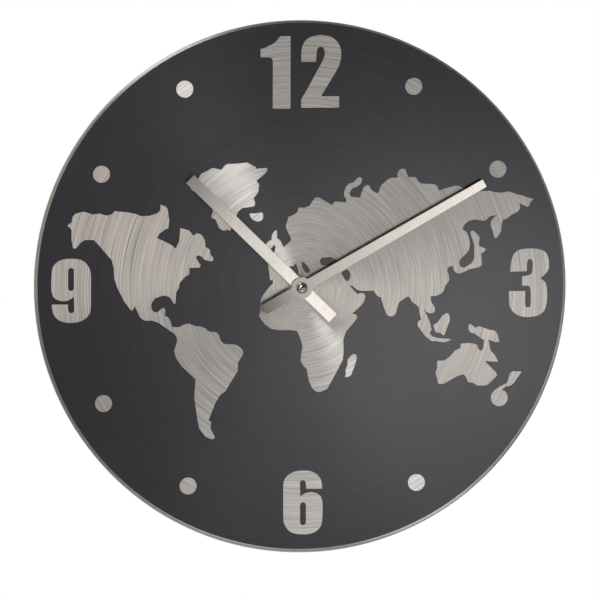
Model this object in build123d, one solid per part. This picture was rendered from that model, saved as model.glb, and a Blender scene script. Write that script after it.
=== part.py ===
"""Wall clock with a world-map dial and a quartz movement, one STEP file for each piece.

Millimetres. +Z is up, the dial faces -Y and the wall lies in the plane Y = 0. The origin is where the
axis of the hands meets the wall plane.
"""

import os
from math import cos, radians, sin

from build123d import *

# dial
DIAL_DIAMETER = 300.0
SHEET = 1.0
RIM_RADIUS = 0.8
RIM_DEPTH = 8.0
PRINT_THICKNESS = 0.1
PRINT_MARGIN = 1.5
PRINT_RISE = 0.5
DOT_DIAMETER = 9.6
DOT_INSET = 20.85
DOT_HOURS = (1, 2, 4, 5, 7, 8, 10, 11)
MAP_MARGIN = 18.35
MAP_TURN = -0.55
COAST_BEND_ANGLE = 36.0
COAST_ROUND_RATIO = 0.45

# hands, as seen from the front, clockwise from twelve
HOUR_REACH = 88.0
HOUR_WIDTH = 6.4
HOUR_ANGLE = 314.8
MINUTE_REACH = 118.6
MINUTE_WIDTH = 5.8
MINUTE_TIP_WIDTH = 4.6
MINUTE_ANGLE = 60.85
HAND_TAIL = 24.6
HAND_SHEET = 0.7
HUB_DIAMETER = 12.0
HOUR_HUB_DIAMETER = 10.0
HAND_GAP = 1.2
COLLET_WALL = 1.2
COLLET_LENGTH = 1.2
CAP_DIAMETER = 6.4
CAP_SKIRT = 0.9
CAP_GRIP = 1.6
SPIGOT_DIAMETER = 2.4

# fixing at the middle of the dial
BUSH_DIAMETER = 8.0
BUSH_FLANGE_DIAMETER = 11.0
BUSH_FLANGE = 0.8
BUSH_PROUD = 0.6
NUT_FLATS = 9.8
NUT_HEIGHT = 2.0
WASHER_DIAMETER = 11.4
WASHER = 0.6
GASKET_DIAMETER = 24.0
GASKET = 1.0
HOLE_CLEARANCE = 0.2

# battery cell, size LR6
CELL_DIAMETER = 14.2
CELL_LENGTH = 50.2
CELL_NUB_DIAMETER = 5.4
CELL_NUB = 1.1
CELL_CLEARANCE = 0.3
CELL_RECESS = 0.6

# movement case
WALL = 1.2
CASE_CORNER = 4.0
BAY_END_ROOM = 1.6
LIP_DEPTH = 1.5
LIP_WALL = 1.0
LIP_CLEARANCE = 0.1
POST = 2.0
ROOM = 0.5
TAB_WIDTH = 20.0
TAB_HEIGHT = 15.0
TAB_THICKNESS = 3.0
TAB_CORNER = 5.0
KEYHOLE_DIAMETER = 8.4
KEYHOLE_SLOT = 4.4
KEYHOLE_RUN = 4.0
KEYHOLE_EDGE = 2.4

# wheels, arbors and plates
ARBOR_DIAMETER = 1.0
MINUTE_ARBOR_DIAMETER = 3.0
HOUR_PIPE_DIAMETER = 5.0
SETTING_ARBOR_DIAMETER = 2.0
RUNNING_FIT = 0.05
END_SHAKE = 0.2
WHEEL = 1.0
LEVEL_GAP = 0.4
PLATE = 1.0
PIVOT_DEPTH = 0.7
ADDENDUM_RATIO = 0.9
DEDENDUM_RATIO = 1.25

# teeth and distances between axes
CANNON_TEETH = 10
WORK_TEETH = 30
WORK_PINION_TEETH = 8
HOUR_TEETH = 32
SETTING_TEETH = 18
MOTION_MODULE = 0.35
CENTRE_TEETH = 60
THIRD_PINION_TEETH = 8
THIRD_TEETH = 64
SECONDS_PINION_TEETH = 8
SECONDS_TEETH = 60
INTER_PINION_TEETH = 8
INTER_TEETH = 32
ROTOR_TEETH = 8
TRAIN_REACH = 9.6
ROTOR_REACH = 6.0
WORK_ANGLE = 180.0
THIRD_ANGLE = 95.0
INTER_ANGLE = -30.0
ROTOR_ANGLE = 30.0
CLUTCH_SPRING = 0.25
CLUTCH_SPRING_DIAMETER = 5.6
CLUTCH_FLANGE_DIAMETER = 6.0
CLUTCH_GAP = 0.03

# setting knob
KNOB_DIAMETER = 10.0
KNOB_HEIGHT = 2.6
KNOB_RECESS = 0.4
KNOB_CLEARANCE = 1.0
KNOB_RIBS = 18
KNOB_RIB = 0.6
WELL_WALL = 0.8

# motor
MAGNET_DIAMETER = 5.0
MAGNET_HEIGHT = 2.4
STATOR_GAP = 0.4
STATOR_LEG = 3.0
STATOR_YOKE = 4.6
STATOR_SHEET = 1.0
COIL_RISE = 22.3
CORE_HEIGHT = 2.4
BOBBIN_DIAMETER = 4.4
BOBBIN_FLANGE = 0.8
COIL_SIZE = 7.4
WINDING_DIAMETER = 6.8

# circuit board and contacts
BOARD_WIDTH = 16.0
BOARD_HEIGHT = 13.0
BOARD_SHEET = 1.0
BOARD_INSET = 1.0
CAN_DIAMETER = 2.0
CAN_LENGTH = 6.0
CHIP_SIDE = 5.0
CHIP_HEIGHT = 1.0
CONTACT_SHEET = 0.4
CONTACT_HEIGHT = 9.0
CONTACT_WIDTH = 8.0
CONTACT_DIMPLE_DIAMETER = 4.6
CONTACT_GAP = 0.1

# depths from the wall forward; a piece's front is its smaller Y
CASE_DEPTH = WALL + CELL_CLEARANCE + CELL_DIAMETER + CELL_RECESS
CASE_FRONT = -CASE_DEPTH
CASE_INSIDE = CASE_FRONT + WALL
DIAL_BACK = CASE_FRONT - GASKET
DIAL_FACE = DIAL_BACK - SHEET
PRINT_FACE = DIAL_FACE - PRINT_THICKNESS
WASHER_FACE = DIAL_FACE - WASHER
NUT_FACE = WASHER_FACE - NUT_HEIGHT
BUSH_END = NUT_FACE - BUSH_PROUD
COLLET_BACK = BUSH_END - LEVEL_GAP
HOUR_HAND_BACK = COLLET_BACK - COLLET_LENGTH
HOUR_HAND_FACE = HOUR_HAND_BACK - HAND_SHEET
MINUTE_HAND_BACK = HOUR_HAND_FACE - HAND_GAP
MINUTE_HAND_FACE = MINUTE_HAND_BACK - HAND_SHEET
SPIGOT_END = MINUTE_HAND_FACE - CAP_GRIP
CAP_TOP = MINUTE_HAND_FACE - CAP_SKIRT - CAP_DIAMETER / 2

# levels of the wheels, each by its front face
STEP = WHEEL + LEVEL_GAP
HOUR_LEVEL = CASE_INSIDE + BUSH_FLANGE + END_SHAKE
WORK_LEVEL = HOUR_LEVEL + STEP
PLATE_LEVEL = WORK_LEVEL + STEP
CENTRE_LEVEL = PLATE_LEVEL + PLATE + LEVEL_GAP
THIRD_LEVEL = CENTRE_LEVEL + STEP
SECONDS_LEVEL = THIRD_LEVEL + STEP
INTER_LEVEL = SECONDS_LEVEL + STEP
BRIDGE_LEVEL = INTER_LEVEL + STEP
BRIDGE_BACK = BRIDGE_LEVEL + PLATE
STATOR_LEVEL = THIRD_LEVEL
CORE_LEVEL = STATOR_LEVEL + STATOR_SHEET
COIL_AXIS = CORE_LEVEL + STATOR_SHEET / 2

# coasts of the bare land, in millimetres from the dial's middle before the map is fitted to the dial. Each
# inner tuple is one smooth stretch that runs on, clockwise, from the corner where the one before ends.
AMERICAS = (
    ((-128.9, 36.5),),
    ((-128.6, 39.4), (-127.1, 41.0), (-122.4, 42.6), (-117.0, 40.7), (-113.4, 41.3), (-109.2, 40.1),
     (-106.3, 40.9), (-104.8, 42.6)),
    ((-97.5, 41.9), (-93.0, 41.0), (-89.8, 39.7), (-85.2, 39.9), (-80.6, 41.4), (-78.9, 43.0),
     (-79.3, 46.2)),
    ((-76.2, 45.1), (-75.0, 43.7)),
    ((-74.6, 40.9), (-74.1, 37.5), (-74.6, 32.8)),
    ((-76.2, 32.4), (-79.9, 29.5), (-81.0, 27.4)),
    ((-77.0, 25.6), (-72.9, 23.5), (-70.5, 21.5)),
    ((-69.6, 23.4), (-68.5, 25.2), (-68.2, 29.5), (-68.0, 33.0)),
    ((-65.6, 32.4), (-62.8, 31.5), (-60.5, 28.6)),
    ((-59.2, 29.8), (-57.7, 30.0), (-55.9, 29.0), (-54.0, 26.0), (-53.8, 22.4)),
    ((-51.4, 20.9),),
    ((-50.9, 17.9), (-49.2, 16.2), (-49.3, 14.6), (-50.8, 14.2), (-54.0, 15.0), (-56.7, 17.5),
     (-58.5, 17.6), (-59.1, 16.2), (-57.6, 13.8), (-56.4, 12.0), (-57.0, 10.7), (-62.6, 10.6)),
    ((-62.8, 6.9),),
    ((-65.1, 5.6), (-68.2, 2.1), (-68.6, -0.6), (-70.2, -3.4), (-70.6, -9.5)),
    ((-71.6, -9.6), (-72.8, -7.2), (-74.4, -5.5), (-77.5, -4.9), (-82.0, -6.5), (-84.3, -9.5),
     (-84.0, -13.0), (-81.8, -14.7), (-79.8, -13.6), (-77.5, -11.5), (-76.3, -12.8), (-76.5, -16.4)),
    ((-74.9, -16.9), (-73.4, -19.0), (-72.4, -22.7)),
    ((-68.2, -22.7), (-66.2, -21.4), (-63.2, -20.6), (-59.7, -22.1), (-56.2, -22.4), (-53.8, -23.4),
     (-51.5, -25.4)),
    ((-47.6, -25.6), (-46.2, -27.0), (-45.3, -30.0), (-43.4, -32.3), (-35.9, -32.7), (-32.5, -35.8),
     (-32.5, -38.3), (-35.3, -42.7), (-35.5, -47.5), (-39.8, -54.5), (-42.2, -58.7), (-45.3, -61.0),
     (-48.0, -65.3), (-49.8, -70.0), (-51.9, -75.2)),
    ((-50.3, -76.4),),
    ((-50.9, -79.8), (-48.1, -84.8), (-49.4, -86.2), (-53.5, -84.5), (-57.0, -80.0), (-58.2, -74.5),
     (-59.9, -62.3), (-59.2, -52.2)),
    ((-62.7, -48.8), (-66.8, -45.0), (-70.2, -40.2), (-71.3, -36.0), (-69.7, -31.0), (-69.7, -28.4),
     (-71.2, -26.4), (-76.6, -22.7), (-80.0, -20.3), (-83.8, -19.0), (-88.3, -19.0), (-90.5, -17.0),
     (-93.4, -10.8)),
    ((-94.6, -13.2), (-95.6, -13.2), (-99.0, -8.7), (-103.3, -0.5), (-105.0, 5.0), (-105.2, 10.0),
     (-106.4, 15.0), (-112.6, 22.3), (-116.5, 26.5)),
    ((-121.5, 26.4), (-124.0, 24.8), (-126.5, 21.6), (-128.1, 21.8), (-129.1, 27.0), (-128.9, 32.2)),
    ((-131.3, 34.6),),
)
GREENLAND = (
    ((-20.0, 66.6),),
    ((-18.5, 65.8), (-20.2, 63.4), (-25.2, 59.3)),
    ((-23.4, 57.3), (-23.9, 55.4), (-23.9, 53.0), (-26.7, 49.8)),
    ((-25.7, 46.4), (-26.4, 45.0), (-33.0, 44.0), (-35.4, 42.0), (-36.4, 39.5), (-39.8, 31.3)),
    ((-41.5, 32.0),),
    ((-43.5, 31.2), (-46.0, 32.8), (-48.0, 37.6)),
    ((-50.4, 38.7),),
    ((-50.4, 40.2), (-49.2, 42.6), (-55.0, 50.5), (-61.9, 54.5)),
    ((-62.2, 55.6), (-57.7, 60.8), (-56.3, 63.2), (-51.5, 65.8)),
    ((-50.0, 66.8), (-47.5, 66.2), (-44.8, 65.6)),
    ((-43.5, 67.5), (-41.7, 69.0), (-37.3, 69.0), (-30.5, 69.7), (-25.2, 66.9)),
    ((-25.4, 66.1),),
)
ICELAND = (
    ((-25.4, 41.0), (-22.6, 41.8), (-21.3, 41.0), (-21.4, 37.4), (-24.2, 36.2), (-27.5, 37.6),
     (-29.0, 40.2), (-28.6, 41.2)),
)
EURASIA_AND_AFRICA = (
    ((19.0, 47.6), (21.1, 47.5), (25.2, 47.1)),
    ((25.7, 48.6), (24.3, 50.6), (24.2, 52.6), (25.3, 55.8), (27.2, 57.7), (29.5, 58.2), (31.6, 60.6),
     (33.4, 61.4), (34.5, 60.2), (33.9, 57.9), (32.1, 56.2), (28.9, 54.9), (27.1, 52.3), (27.9, 50.2),
     (33.4, 49.7)),
    ((34.0, 52.5), (35.4, 55.8), (37.4, 57.0), (38.6, 56.2), (39.8, 53.6), (43.2, 52.1)),
    ((44.2, 53.5), (44.6, 56.2), (46.7, 57.9), (49.5, 60.6), (54.6, 61.0)),
    ((54.1, 62.8), (55.3, 65.4), (57.3, 65.9), (58.8, 65.5)),
    ((59.2, 64.0), (60.5, 61.2)),
    ((64.6, 61.1),),
    ((65.8, 59.2), (67.4, 57.5), (72.0, 57.3), (75.8, 57.1), (77.0, 55.8), (77.8, 53.5)),
    ((80.5, 54.5), (88.0, 56.6), (91.8, 54.6), (98.0, 53.2), (104.4, 53.2), (106.8, 53.3)),
    ((108.8, 52.5), (113.1, 52.2), (117.6, 52.9), (122.0, 51.2), (125.2, 50.5), (131.1, 48.5)),
    ((129.3, 46.6), (128.9, 44.8), (127.8, 44.2)),
    ((123.0, 46.3),),
    ((123.7, 43.8),),
    ((122.6, 41.7), (118.5, 39.6), (115.8, 37.4), (113.8, 36.9)),
    ((113.3, 34.8), (113.0, 31.0), (111.2, 27.8), (109.6, 26.3), (108.8, 28.0), (108.2, 30.8),
     (107.0, 33.6), (107.2, 36.4), (108.6, 38.0), (110.4, 39.6)),
    ((106.5, 39.1), (104.9, 37.4), (103.7, 36.4)),
    ((98.0, 37.2), (94.9, 36.6), (92.4, 34.7), (91.0, 31.9)),
    ((93.4, 30.1), (94.9, 27.0), (95.3, 23.5), (94.9, 20.2), (92.9, 17.6), (89.8, 14.9), (89.1, 12.6),
     (90.3, 10.2), (92.4, 10.2), (96.4, 12.6), (97.8, 15.5), (97.8, 22.7), (96.5, 26.8), (95.4, 30.4),
     (97.0, 31.1), (99.4, 29.0), (100.8, 27.2), (100.4, 22.4)),
    ((104.5, 20.5),),
    ((103.2, 18.9), (101.7, 18.2), (102.0, 14.0), (102.0, 10.9), (98.8, 9.9), (95.2, 9.3), (92.0, 7.6),
     (89.0, 6.6), (86.6, 7.8), (85.6, 11.0)),
    ((83.9, 11.0), (82.4, 9.2), (83.5, 5.7), (83.8, 3.0), (81.5, -0.1), (80.4, -3.2), (79.0, -4.6),
     (75.4, -6.0), (73.6, -5.6)),
    ((73.2, -7.7), (73.9, -9.9), (75.8, -12.4), (75.6, -14.8), (73.5, -15.8), (71.2, -15.0),
     (69.2, -12.9)),
    ((71.5, -17.4), (73.0, -21.0), (73.8, -25.0)),
    ((72.4, -26.6), (74.4, -28.7), (78.5, -29.7), (84.6, -30.0)),
    ((84.4, -30.8), (80.8, -32.0), (76.9, -31.3), (73.5, -31.2), (70.0, -28.1), (65.7, -22.2),
     (66.2, -19.8), (67.9, -19.3)),
    ((67.2, -16.0), (66.4, -12.0), (65.0, -10.5), (62.8, -9.4), (61.4, -6.6), (60.2, -5.9),
     (57.5, -7.8), (55.2, -9.4), (54.3, -12.5), (53.6, -15.9), (51.2, -17.4), (48.6, -16.5),
     (46.6, -11.5), (45.2, -6.5)),
    ((43.2, -5.8), (42.2, -4.2), (41.0, -2.6)),
    ((36.6, -2.8), (32.3, -2.6), (28.9, 0.2), (27.3, 0.5)),
    ((31.8, -4.6),),
    ((33.4, -4.0), (35.4, -4.0), (36.6, -5.8), (35.8, -8.8), (33.3, -11.6), (29.1, -15.5)),
    ((31.3, -16.1), (31.9, -17.6), (30.6, -19.7), (25.6, -25.5), (24.0, -30.0), (24.2, -36.5),
     (23.8, -41.4), (18.6, -51.3), (15.0, -57.8), (10.5, -60.1), (6.9, -58.3), (4.6, -53.0),
     (3.4, -46.6)),
    ((1.5, -44.8), (0.0, -42.2), (0.2, -38.6), (1.0, -34.0), (0.2, -30.5), (-2.0, -25.2)),
    ((-5.2, -24.7), (-11.5, -24.7), (-16.5, -24.0), (-20.2, -21.4), (-23.5, -16.8)),
    ((-22.7, -14.0), (-23.2, -10.0), (-21.8, -5.6), (-17.6, -0.2), (-15.6, 1.9), (-15.7, 3.5),
     (-17.3, 3.5)),
    ((-17.7, 6.9), (-18.2, 9.8), (-18.4, 13.5), (-20.2, 19.0), (-20.0, 23.0), (-18.8, 25.2),
     (-16.5, 26.2)),
    ((-16.5, 28.8), (-15.0, 31.0), (-13.6, 31.8)),
    ((-13.4, 27.0),),
    ((-11.6, 26.0), (-10.6, 23.6), (-9.8, 22.0)),
    ((-6.2, 25.1), (-5.4, 26.8), (-7.3, 30.4), (-8.8, 33.6), (-7.6, 36.8), (-7.2, 38.9)),
    ((-4.3, 40.1), (-2.2, 41.4), (-1.3, 44.2)),
    ((2.3, 44.2), (4.9, 45.3), (6.3, 47.6), (8.0, 49.9)),
    ((10.2, 49.8), (17.5, 45.6)),
)
BORNEO = (
    ((77.1, -20.8), (80.0, -16.8), (82.2, -15.3), (83.6, -16.0), (84.4, -19.0), (82.4, -24.0),
     (81.2, -27.8)),
    ((80.2, -27.9), (78.7, -26.6), (76.2, -26.2)),
    ((74.6, -22.3),),
)
AUSTRALIA = (
    ((94.7, -22.3), (95.8, -21.5), (98.5, -23.8)),
    ((100.5, -22.9), (105.9, -24.8), (109.8, -25.5), (111.2, -27.7), (112.1, -31.9)),
    ((109.5, -31.8), (105.9, -30.6)),
    ((106.6, -33.5), (107.1, -36.6), (109.5, -39.1), (111.5, -43.1)),
    ((103.9, -42.6),),
    ((110.6, -49.4), (110.9, -50.9), (107.0, -54.6), (105.0, -56.4), (99.8, -56.4), (97.2, -54.8),
     (94.5, -54.4)),
    ((93.2, -51.3), (91.8, -49.9), (88.5, -51.0), (80.6, -55.4), (77.6, -55.6), (77.0, -52.1),
     (76.0, -49.2), (77.0, -46.3), (77.0, -42.3)),
    ((80.8, -42.2), (84.0, -40.2), (86.8, -36.8), (90.0, -35.2)),
    ((90.2, -32.7),),
    ((95.2, -32.4), (99.6, -33.2), (100.5, -36.2), (101.8, -37.0), (103.0, -35.5), (103.5, -30.8)),
    ((101.0, -29.2), (98.0, -27.0), (95.6, -26.5), (94.5, -24.3)),
)
NEW_ZEALAND = (
    ((117.4, -51.7), (118.5, -49.1), (119.6, -48.5), (124.4, -48.5)),
    ((124.4, -49.3), (120.5, -55.0), (118.5, -56.6), (116.0, -57.0), (113.8, -58.6)),
    ((112.4, -62.0),),
    ((109.2, -59.3),),
    ((111.8, -57.4), (116.5, -54.9)),
)
MADAGASCAR = (
    ((28.4, -39.2), (30.2, -37.9), (31.8, -39.6), (31.0, -43.4), (28.6, -49.8), (27.0, -51.2),
     (24.9, -51.3)),
    ((25.5, -49.1), (25.3, -47.1), (26.3, -44.6), (26.4, -41.3)),
)
LANDS = (AMERICAS, GREENLAND, ICELAND, EURASIA_AND_AFRICA, BORNEO, AUSTRALIA, MADAGASCAR)
MAP_REACH = max(abs(x) for land in LANDS for stretch in land for x, _ in stretch)

# seas that lie inside the land and are printed dark
SEAS = (
    (((-15.2, 23.3), (-14.4, 23.2), (-14.5, 20.8), (-15.2, 18.6)), ((-17.1, 21.0),)),
    (((-4.4, 11.3),), ((-3.0, 12.7), (-2.2, 11.8), (-1.6, 9.0), (-1.3, 5.8)), ((-6.9, 11.3),)),
    (((1.8, 13.5), (4.0, 11.0), (5.3, 8.8), (4.0, 7.0), (2.3, 8.1), (0.8, 10.4), (0.3, 13.6)),),
    (((16.5, 16.5), (19.3, 15.2), (21.2, 13.4)), ((18.5, 11.3),),
     ((14.5, 11.5), (11.7, 11.8), (10.4, 13.8), (11.3, 15.9), (14.0, 16.1))),
    (((24.3, 9.0), (26.5, 9.4), (27.9, 7.3), (27.8, 4.6), (26.6, 2.6), (25.2, 3.2), (22.7, 7.1)),),
)


def polar(reach, angle, start=(0.0, 0.0)):
    """A front-view point at a reach and angle (counter-clockwise from +X) from a start point."""
    return (start[0] + reach * cos(radians(angle)), start[1] + reach * sin(radians(angle)))


def slab(sketch, front, back):
    """Extrude a front-view sketch from its back depth forward to its front depth."""
    return extrude(Plane.XZ.offset(-back) * sketch, amount=back - front, dir=(0, -1, 0))


def disc(point, diameter, front, back):
    """A round bar or disc along the hands' axis direction."""
    return slab(Pos(*point) * Circle(diameter / 2), front, back)


def box(left, right, bottom, top, front, back):
    """A block between its front-view limits and two depths."""
    middle = Pos((left + right) / 2, (bottom + top) / 2)
    return slab(middle * Rectangle(right - left, top - bottom), front, back)


def post(point, front, back):
    """A square moulded post."""
    return slab(Pos(*point) * Rectangle(POST, POST), front, back)


def ring(diameter, bore, front, back, point=(0.0, 0.0)):
    """A plain washer shape."""
    return slab(Pos(*point) * (Circle(diameter / 2) - Circle(bore / 2)), front, back)


def running(diameter):
    """The bore in which a shaft of this diameter turns."""
    return diameter + 2 * RUNNING_FIT


def serrated(count, outer, inner, phase):
    """A round outline with pointed teeth or ribs, one of them centred on the phase angle."""
    points = []
    for tooth in range(count):
        points.append(polar(outer, phase + 360 / count * tooth))
        points.append(polar(inner, phase + 360 / count * (tooth + 0.5)))
    return Polygon(*points, align=None)


def gear(teeth, module, phase):
    """A gear outline with straight-flanked teeth."""
    return serrated(teeth, tip_radius(teeth, module), module * (teeth / 2 - DEDENDUM_RATIO), phase)


def meshed(teeth, phase, direction, mate_teeth):
    """The phase of a mate that lies in this direction, so that its gap meets the first gear's tooth."""
    turned = (direction - phase) * teeth / 360.0
    return direction + 180.0 - (0.5 - turned) * 360.0 / mate_teeth


def wheel(axis, teeth, module, phase, level):
    """A toothed disc on its level."""
    return slab(Pos(*axis) * gear(teeth, module, phase), level, level + WHEEL)


def module_for(distance, teeth, mate_teeth):
    """The module with which two gears mesh at a distance between their axes."""
    return 2 * distance / (teeth + mate_teeth)


def tip_radius(teeth, module):
    """The outer radius of a gear."""
    return module * (teeth / 2 + ADDENDUM_RATIO)


# axes of the movement in the front view
CENTRE = (0.0, 0.0)
WORK_REACH = MOTION_MODULE * (CANNON_TEETH + WORK_TEETH) / 2
SETTING_REACH = MOTION_MODULE * (WORK_TEETH + SETTING_TEETH) / 2
HOUR_MODULE = module_for(WORK_REACH, HOUR_TEETH, WORK_PINION_TEETH)
CENTRE_MODULE = module_for(TRAIN_REACH, CENTRE_TEETH, THIRD_PINION_TEETH)
THIRD_MODULE = module_for(TRAIN_REACH, THIRD_TEETH, SECONDS_PINION_TEETH)
SECONDS_MODULE = module_for(TRAIN_REACH, SECONDS_TEETH, INTER_PINION_TEETH)
INTER_MODULE = module_for(ROTOR_REACH, INTER_TEETH, ROTOR_TEETH)
WORK_AXIS = polar(WORK_REACH, WORK_ANGLE)
SETTING_AXIS = polar(SETTING_REACH, WORK_ANGLE, WORK_AXIS)
THIRD_AXIS = polar(TRAIN_REACH, THIRD_ANGLE)
INTER_AXIS = polar(TRAIN_REACH, INTER_ANGLE)
ROTOR_AXIS = polar(ROTOR_REACH, ROTOR_ANGLE, INTER_AXIS)

# case limits in the front view
CASE_RIGHT = CELL_LENGTH / 2 + BAY_END_ROOM + WALL
ROOM_RIGHT = CASE_RIGHT - WALL
ROOM_FLOOR = INTER_AXIS[1] - tip_radius(INTER_TEETH, INTER_MODULE) - ROOM
BAY_TOP = ROOM_FLOOR - WALL
CELL_HEIGHT = BAY_TOP - CELL_CLEARANCE - CELL_DIAMETER / 2
CELL_DEPTH = -CELL_RECESS - CELL_DIAMETER / 2
CASE_BOTTOM = CELL_HEIGHT - CELL_DIAMETER / 2 - CELL_CLEARANCE - WALL
COIL_HEIGHT = ROTOR_AXIS[1] + COIL_RISE
ROOM_TOP = COIL_HEIGHT + COIL_SIZE / 2 + ROOM
CASE_TOP = ROOM_TOP + WALL
CASE_MIDDLE = (CASE_TOP + CASE_BOTTOM) / 2

# stator and plates
STATOR_LEFT = max(
    tip_radius(CENTRE_TEETH, CENTRE_MODULE),
    THIRD_AXIS[0] + tip_radius(THIRD_TEETH, THIRD_MODULE),
) + ROOM
STATOR_RIGHT = ROOM_RIGHT - ROOM
PLATE_LEFT = SETTING_AXIS[0] - SETTING_ARBOR_DIAMETER - ROOM
PLATE_RIGHT = ROTOR_AXIS[0] + POST + 2 * ROOM
PLATE_FLOOR = ROOM_FLOOR + ROOM
PLATE_TOP = THIRD_AXIS[1] + tip_radius(THIRD_TEETH, THIRD_MODULE) + POST / 2 + ROOM
PLATE_NECK = STATOR_LEFT - ROOM
FOOT_INSET = POST / 2 + ROOM / 2
WELL_RADIUS = KNOB_DIAMETER / 2 + KNOB_CLEARANCE
WELL_FLOOR = -(KNOB_RECESS + KNOB_HEIGHT + END_SHAKE)
PLATE_STEP = SETTING_AXIS[0] + WELL_RADIUS + WELL_WALL + ROOM


def rounded_run(points):
    """Edges along a run of points, each bend rounded by an arc as large as its two sides allow."""
    edges = []
    start = points[0]
    for before, corner, after in zip(points, points[1:], points[2:]):
        inward, outward = corner - before, after - corner
        bent = inward.get_angle(outward) > COAST_BEND_ANGLE
        reach = COAST_ROUND_RATIO * min(inward.length, outward.length) if bent else 0.0
        entry = corner - reach * inward.normalized()
        leave = corner + reach * outward.normalized()
        edges.append(Line(start, entry))
        if bent:
            edges.append(TangentArc(entry, leave, tangent=inward))
        start = leave
    edges.append(Line(start, points[-1]))
    return edges


def coast(stretches):
    """A land or sea as a face, set square on the dial."""
    scale = (DIAL_DIAMETER / 2 - MAP_MARGIN) / MAP_REACH

    def placed(point):
        return scale * Vector(*point).rotate(Axis.Z, MAP_TURN)

    edges = []
    last = placed(stretches[-1][-1])
    for stretch in stretches:
        points = [last] + [placed(point) for point in stretch]
        edges += rounded_run(points)
        last = points[-1]
    return -Face(Wire(edges))


def dial_plate():
    """A spun pan: flat face, rounded rim and a short return flange, with the middle hole."""
    outside = DIAL_DIAMETER / 2
    hole = BUSH_DIAMETER / 2 + HOLE_CLEARANCE
    lip = DIAL_FACE + RIM_DEPTH
    bend = (outside - RIM_RADIUS, DIAL_FACE + RIM_RADIUS)
    slant = cos(radians(45))
    profile = [
        Line((hole, DIAL_FACE), (bend[0], DIAL_FACE)),
        ThreePointArc(
            (bend[0], DIAL_FACE),
            (bend[0] + RIM_RADIUS * slant, bend[1] - RIM_RADIUS * slant),
            (outside, bend[1]),
        ),
        Line((outside, bend[1]), (outside, lip)),
        Line((outside, lip), (outside - SHEET, lip)),
        Line((outside - SHEET, lip), (outside - SHEET, DIAL_BACK)),
        Line((outside - SHEET, DIAL_BACK), (hole, DIAL_BACK)),
        Line((hole, DIAL_BACK), (hole, DIAL_FACE)),
    ]
    return revolve(Face(Wire(profile)), axis=Axis.Y)


def dial_print():
    """The dark print: a thin disc with the lands and hour dots left open and the inner seas kept."""
    outside = DIAL_DIAMETER / 2 - PRINT_MARGIN
    dots = {hour: polar(DIAL_DIAMETER / 2 - DOT_INSET, 90 - 30 * hour) for hour in DOT_HOURS}
    hour_dots = Sketch() + [Pos(*point) * Circle(DOT_DIAMETER / 2) for point in dots.values()]
    openings = (hour_dots + coast(NEW_ZEALAND)).faces()
    openings += [coast(land) for land in LANDS]
    rim = Wire(Circle(outside).edges())
    ground = Face(rim, [opening.outer_wire() for opening in openings])
    areas = [ground] + [coast(sea) for sea in SEAS]
    return Compound([slab(Pos(0, PRINT_RISE) * area, PRINT_FACE, DIAL_FACE).solid() for area in areas])


def hand_outline(reach, width, tip_width, tail, hub):
    """A plain bar that points up, widest at the middle, with a round hub."""
    bar = Polygon(
        (width / 2, 0),
        (tip_width / 2, reach),
        (-tip_width / 2, reach),
        (-width / 2, 0),
        (-width / 2, -tail),
        (width / 2, -tail),
        align=None,
    )
    return bar + Circle(hub / 2)


def hour_hand():
    """The lower, shorter bar hand on its pipe."""
    outline = hand_outline(HOUR_REACH, HOUR_WIDTH, HOUR_WIDTH, HAND_TAIL, HOUR_HUB_DIAMETER)
    outline -= Circle(HOUR_PIPE_DIAMETER / 2)
    return slab(Rot(0, 0, -HOUR_ANGLE) * outline, HOUR_HAND_FACE, HOUR_HAND_BACK)


def minute_hand():
    """The upper, longer bar hand with its round hub."""
    outline = hand_outline(MINUTE_REACH, MINUTE_WIDTH, MINUTE_TIP_WIDTH, HAND_TAIL, HUB_DIAMETER)
    outline -= Circle(SPIGOT_DIAMETER / 2)
    return slab(Rot(0, 0, -MINUTE_ANGLE) * outline, MINUTE_HAND_FACE, MINUTE_HAND_BACK)


def hour_collet():
    """The brass collet behind the hour hand that grips the hour pipe."""
    outside = HOUR_PIPE_DIAMETER + 2 * COLLET_WALL
    return ring(outside, HOUR_PIPE_DIAMETER, HOUR_HAND_BACK, COLLET_BACK)


def cap_nut():
    """The domed nut on the end of the minute arbor."""
    radius = CAP_DIAMETER / 2
    skirt = disc(CENTRE, CAP_DIAMETER, MINUTE_HAND_FACE - CAP_SKIRT, MINUTE_HAND_FACE)
    ball = Pos(0, MINUTE_HAND_FACE - CAP_SKIRT, 0) * Sphere(radius)
    dome = ball & box(-radius, radius, -radius, radius, CAP_TOP, MINUTE_HAND_FACE - CAP_SKIRT)
    thread = disc(CENTRE, SPIGOT_DIAMETER, SPIGOT_END, MINUTE_HAND_FACE)
    return skirt + dome - thread


def fixing_nut():
    """The hexagon nut that clamps the dial on the bush."""
    corner = NUT_FLATS / 2 / cos(radians(30))
    outline = RegularPolygon(corner, 6) - Circle(BUSH_DIAMETER / 2)
    return slab(outline, NUT_FACE, WASHER_FACE)


def fixing_washer():
    """The washer under the nut, on bare sheet."""
    return ring(WASHER_DIAMETER, BUSH_DIAMETER + 2 * HOLE_CLEARANCE, WASHER_FACE, DIAL_FACE)


def dial_gasket():
    """The rubber ring between the dial and the movement case."""
    return ring(GASKET_DIAMETER, BUSH_DIAMETER + 2 * HOLE_CLEARANCE, DIAL_BACK, CASE_FRONT)


def centre_bush():
    """The threaded brass bush, held from inside the case by its flange."""
    outside = disc(CENTRE, BUSH_DIAMETER, BUSH_END, CASE_INSIDE)
    flange = disc(CENTRE, BUSH_FLANGE_DIAMETER, CASE_INSIDE, CASE_INSIDE + BUSH_FLANGE)
    bore = disc(CENTRE, running(HOUR_PIPE_DIAMETER), BUSH_END, CASE_INSIDE + BUSH_FLANGE)
    return outside + flange - bore


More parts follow.
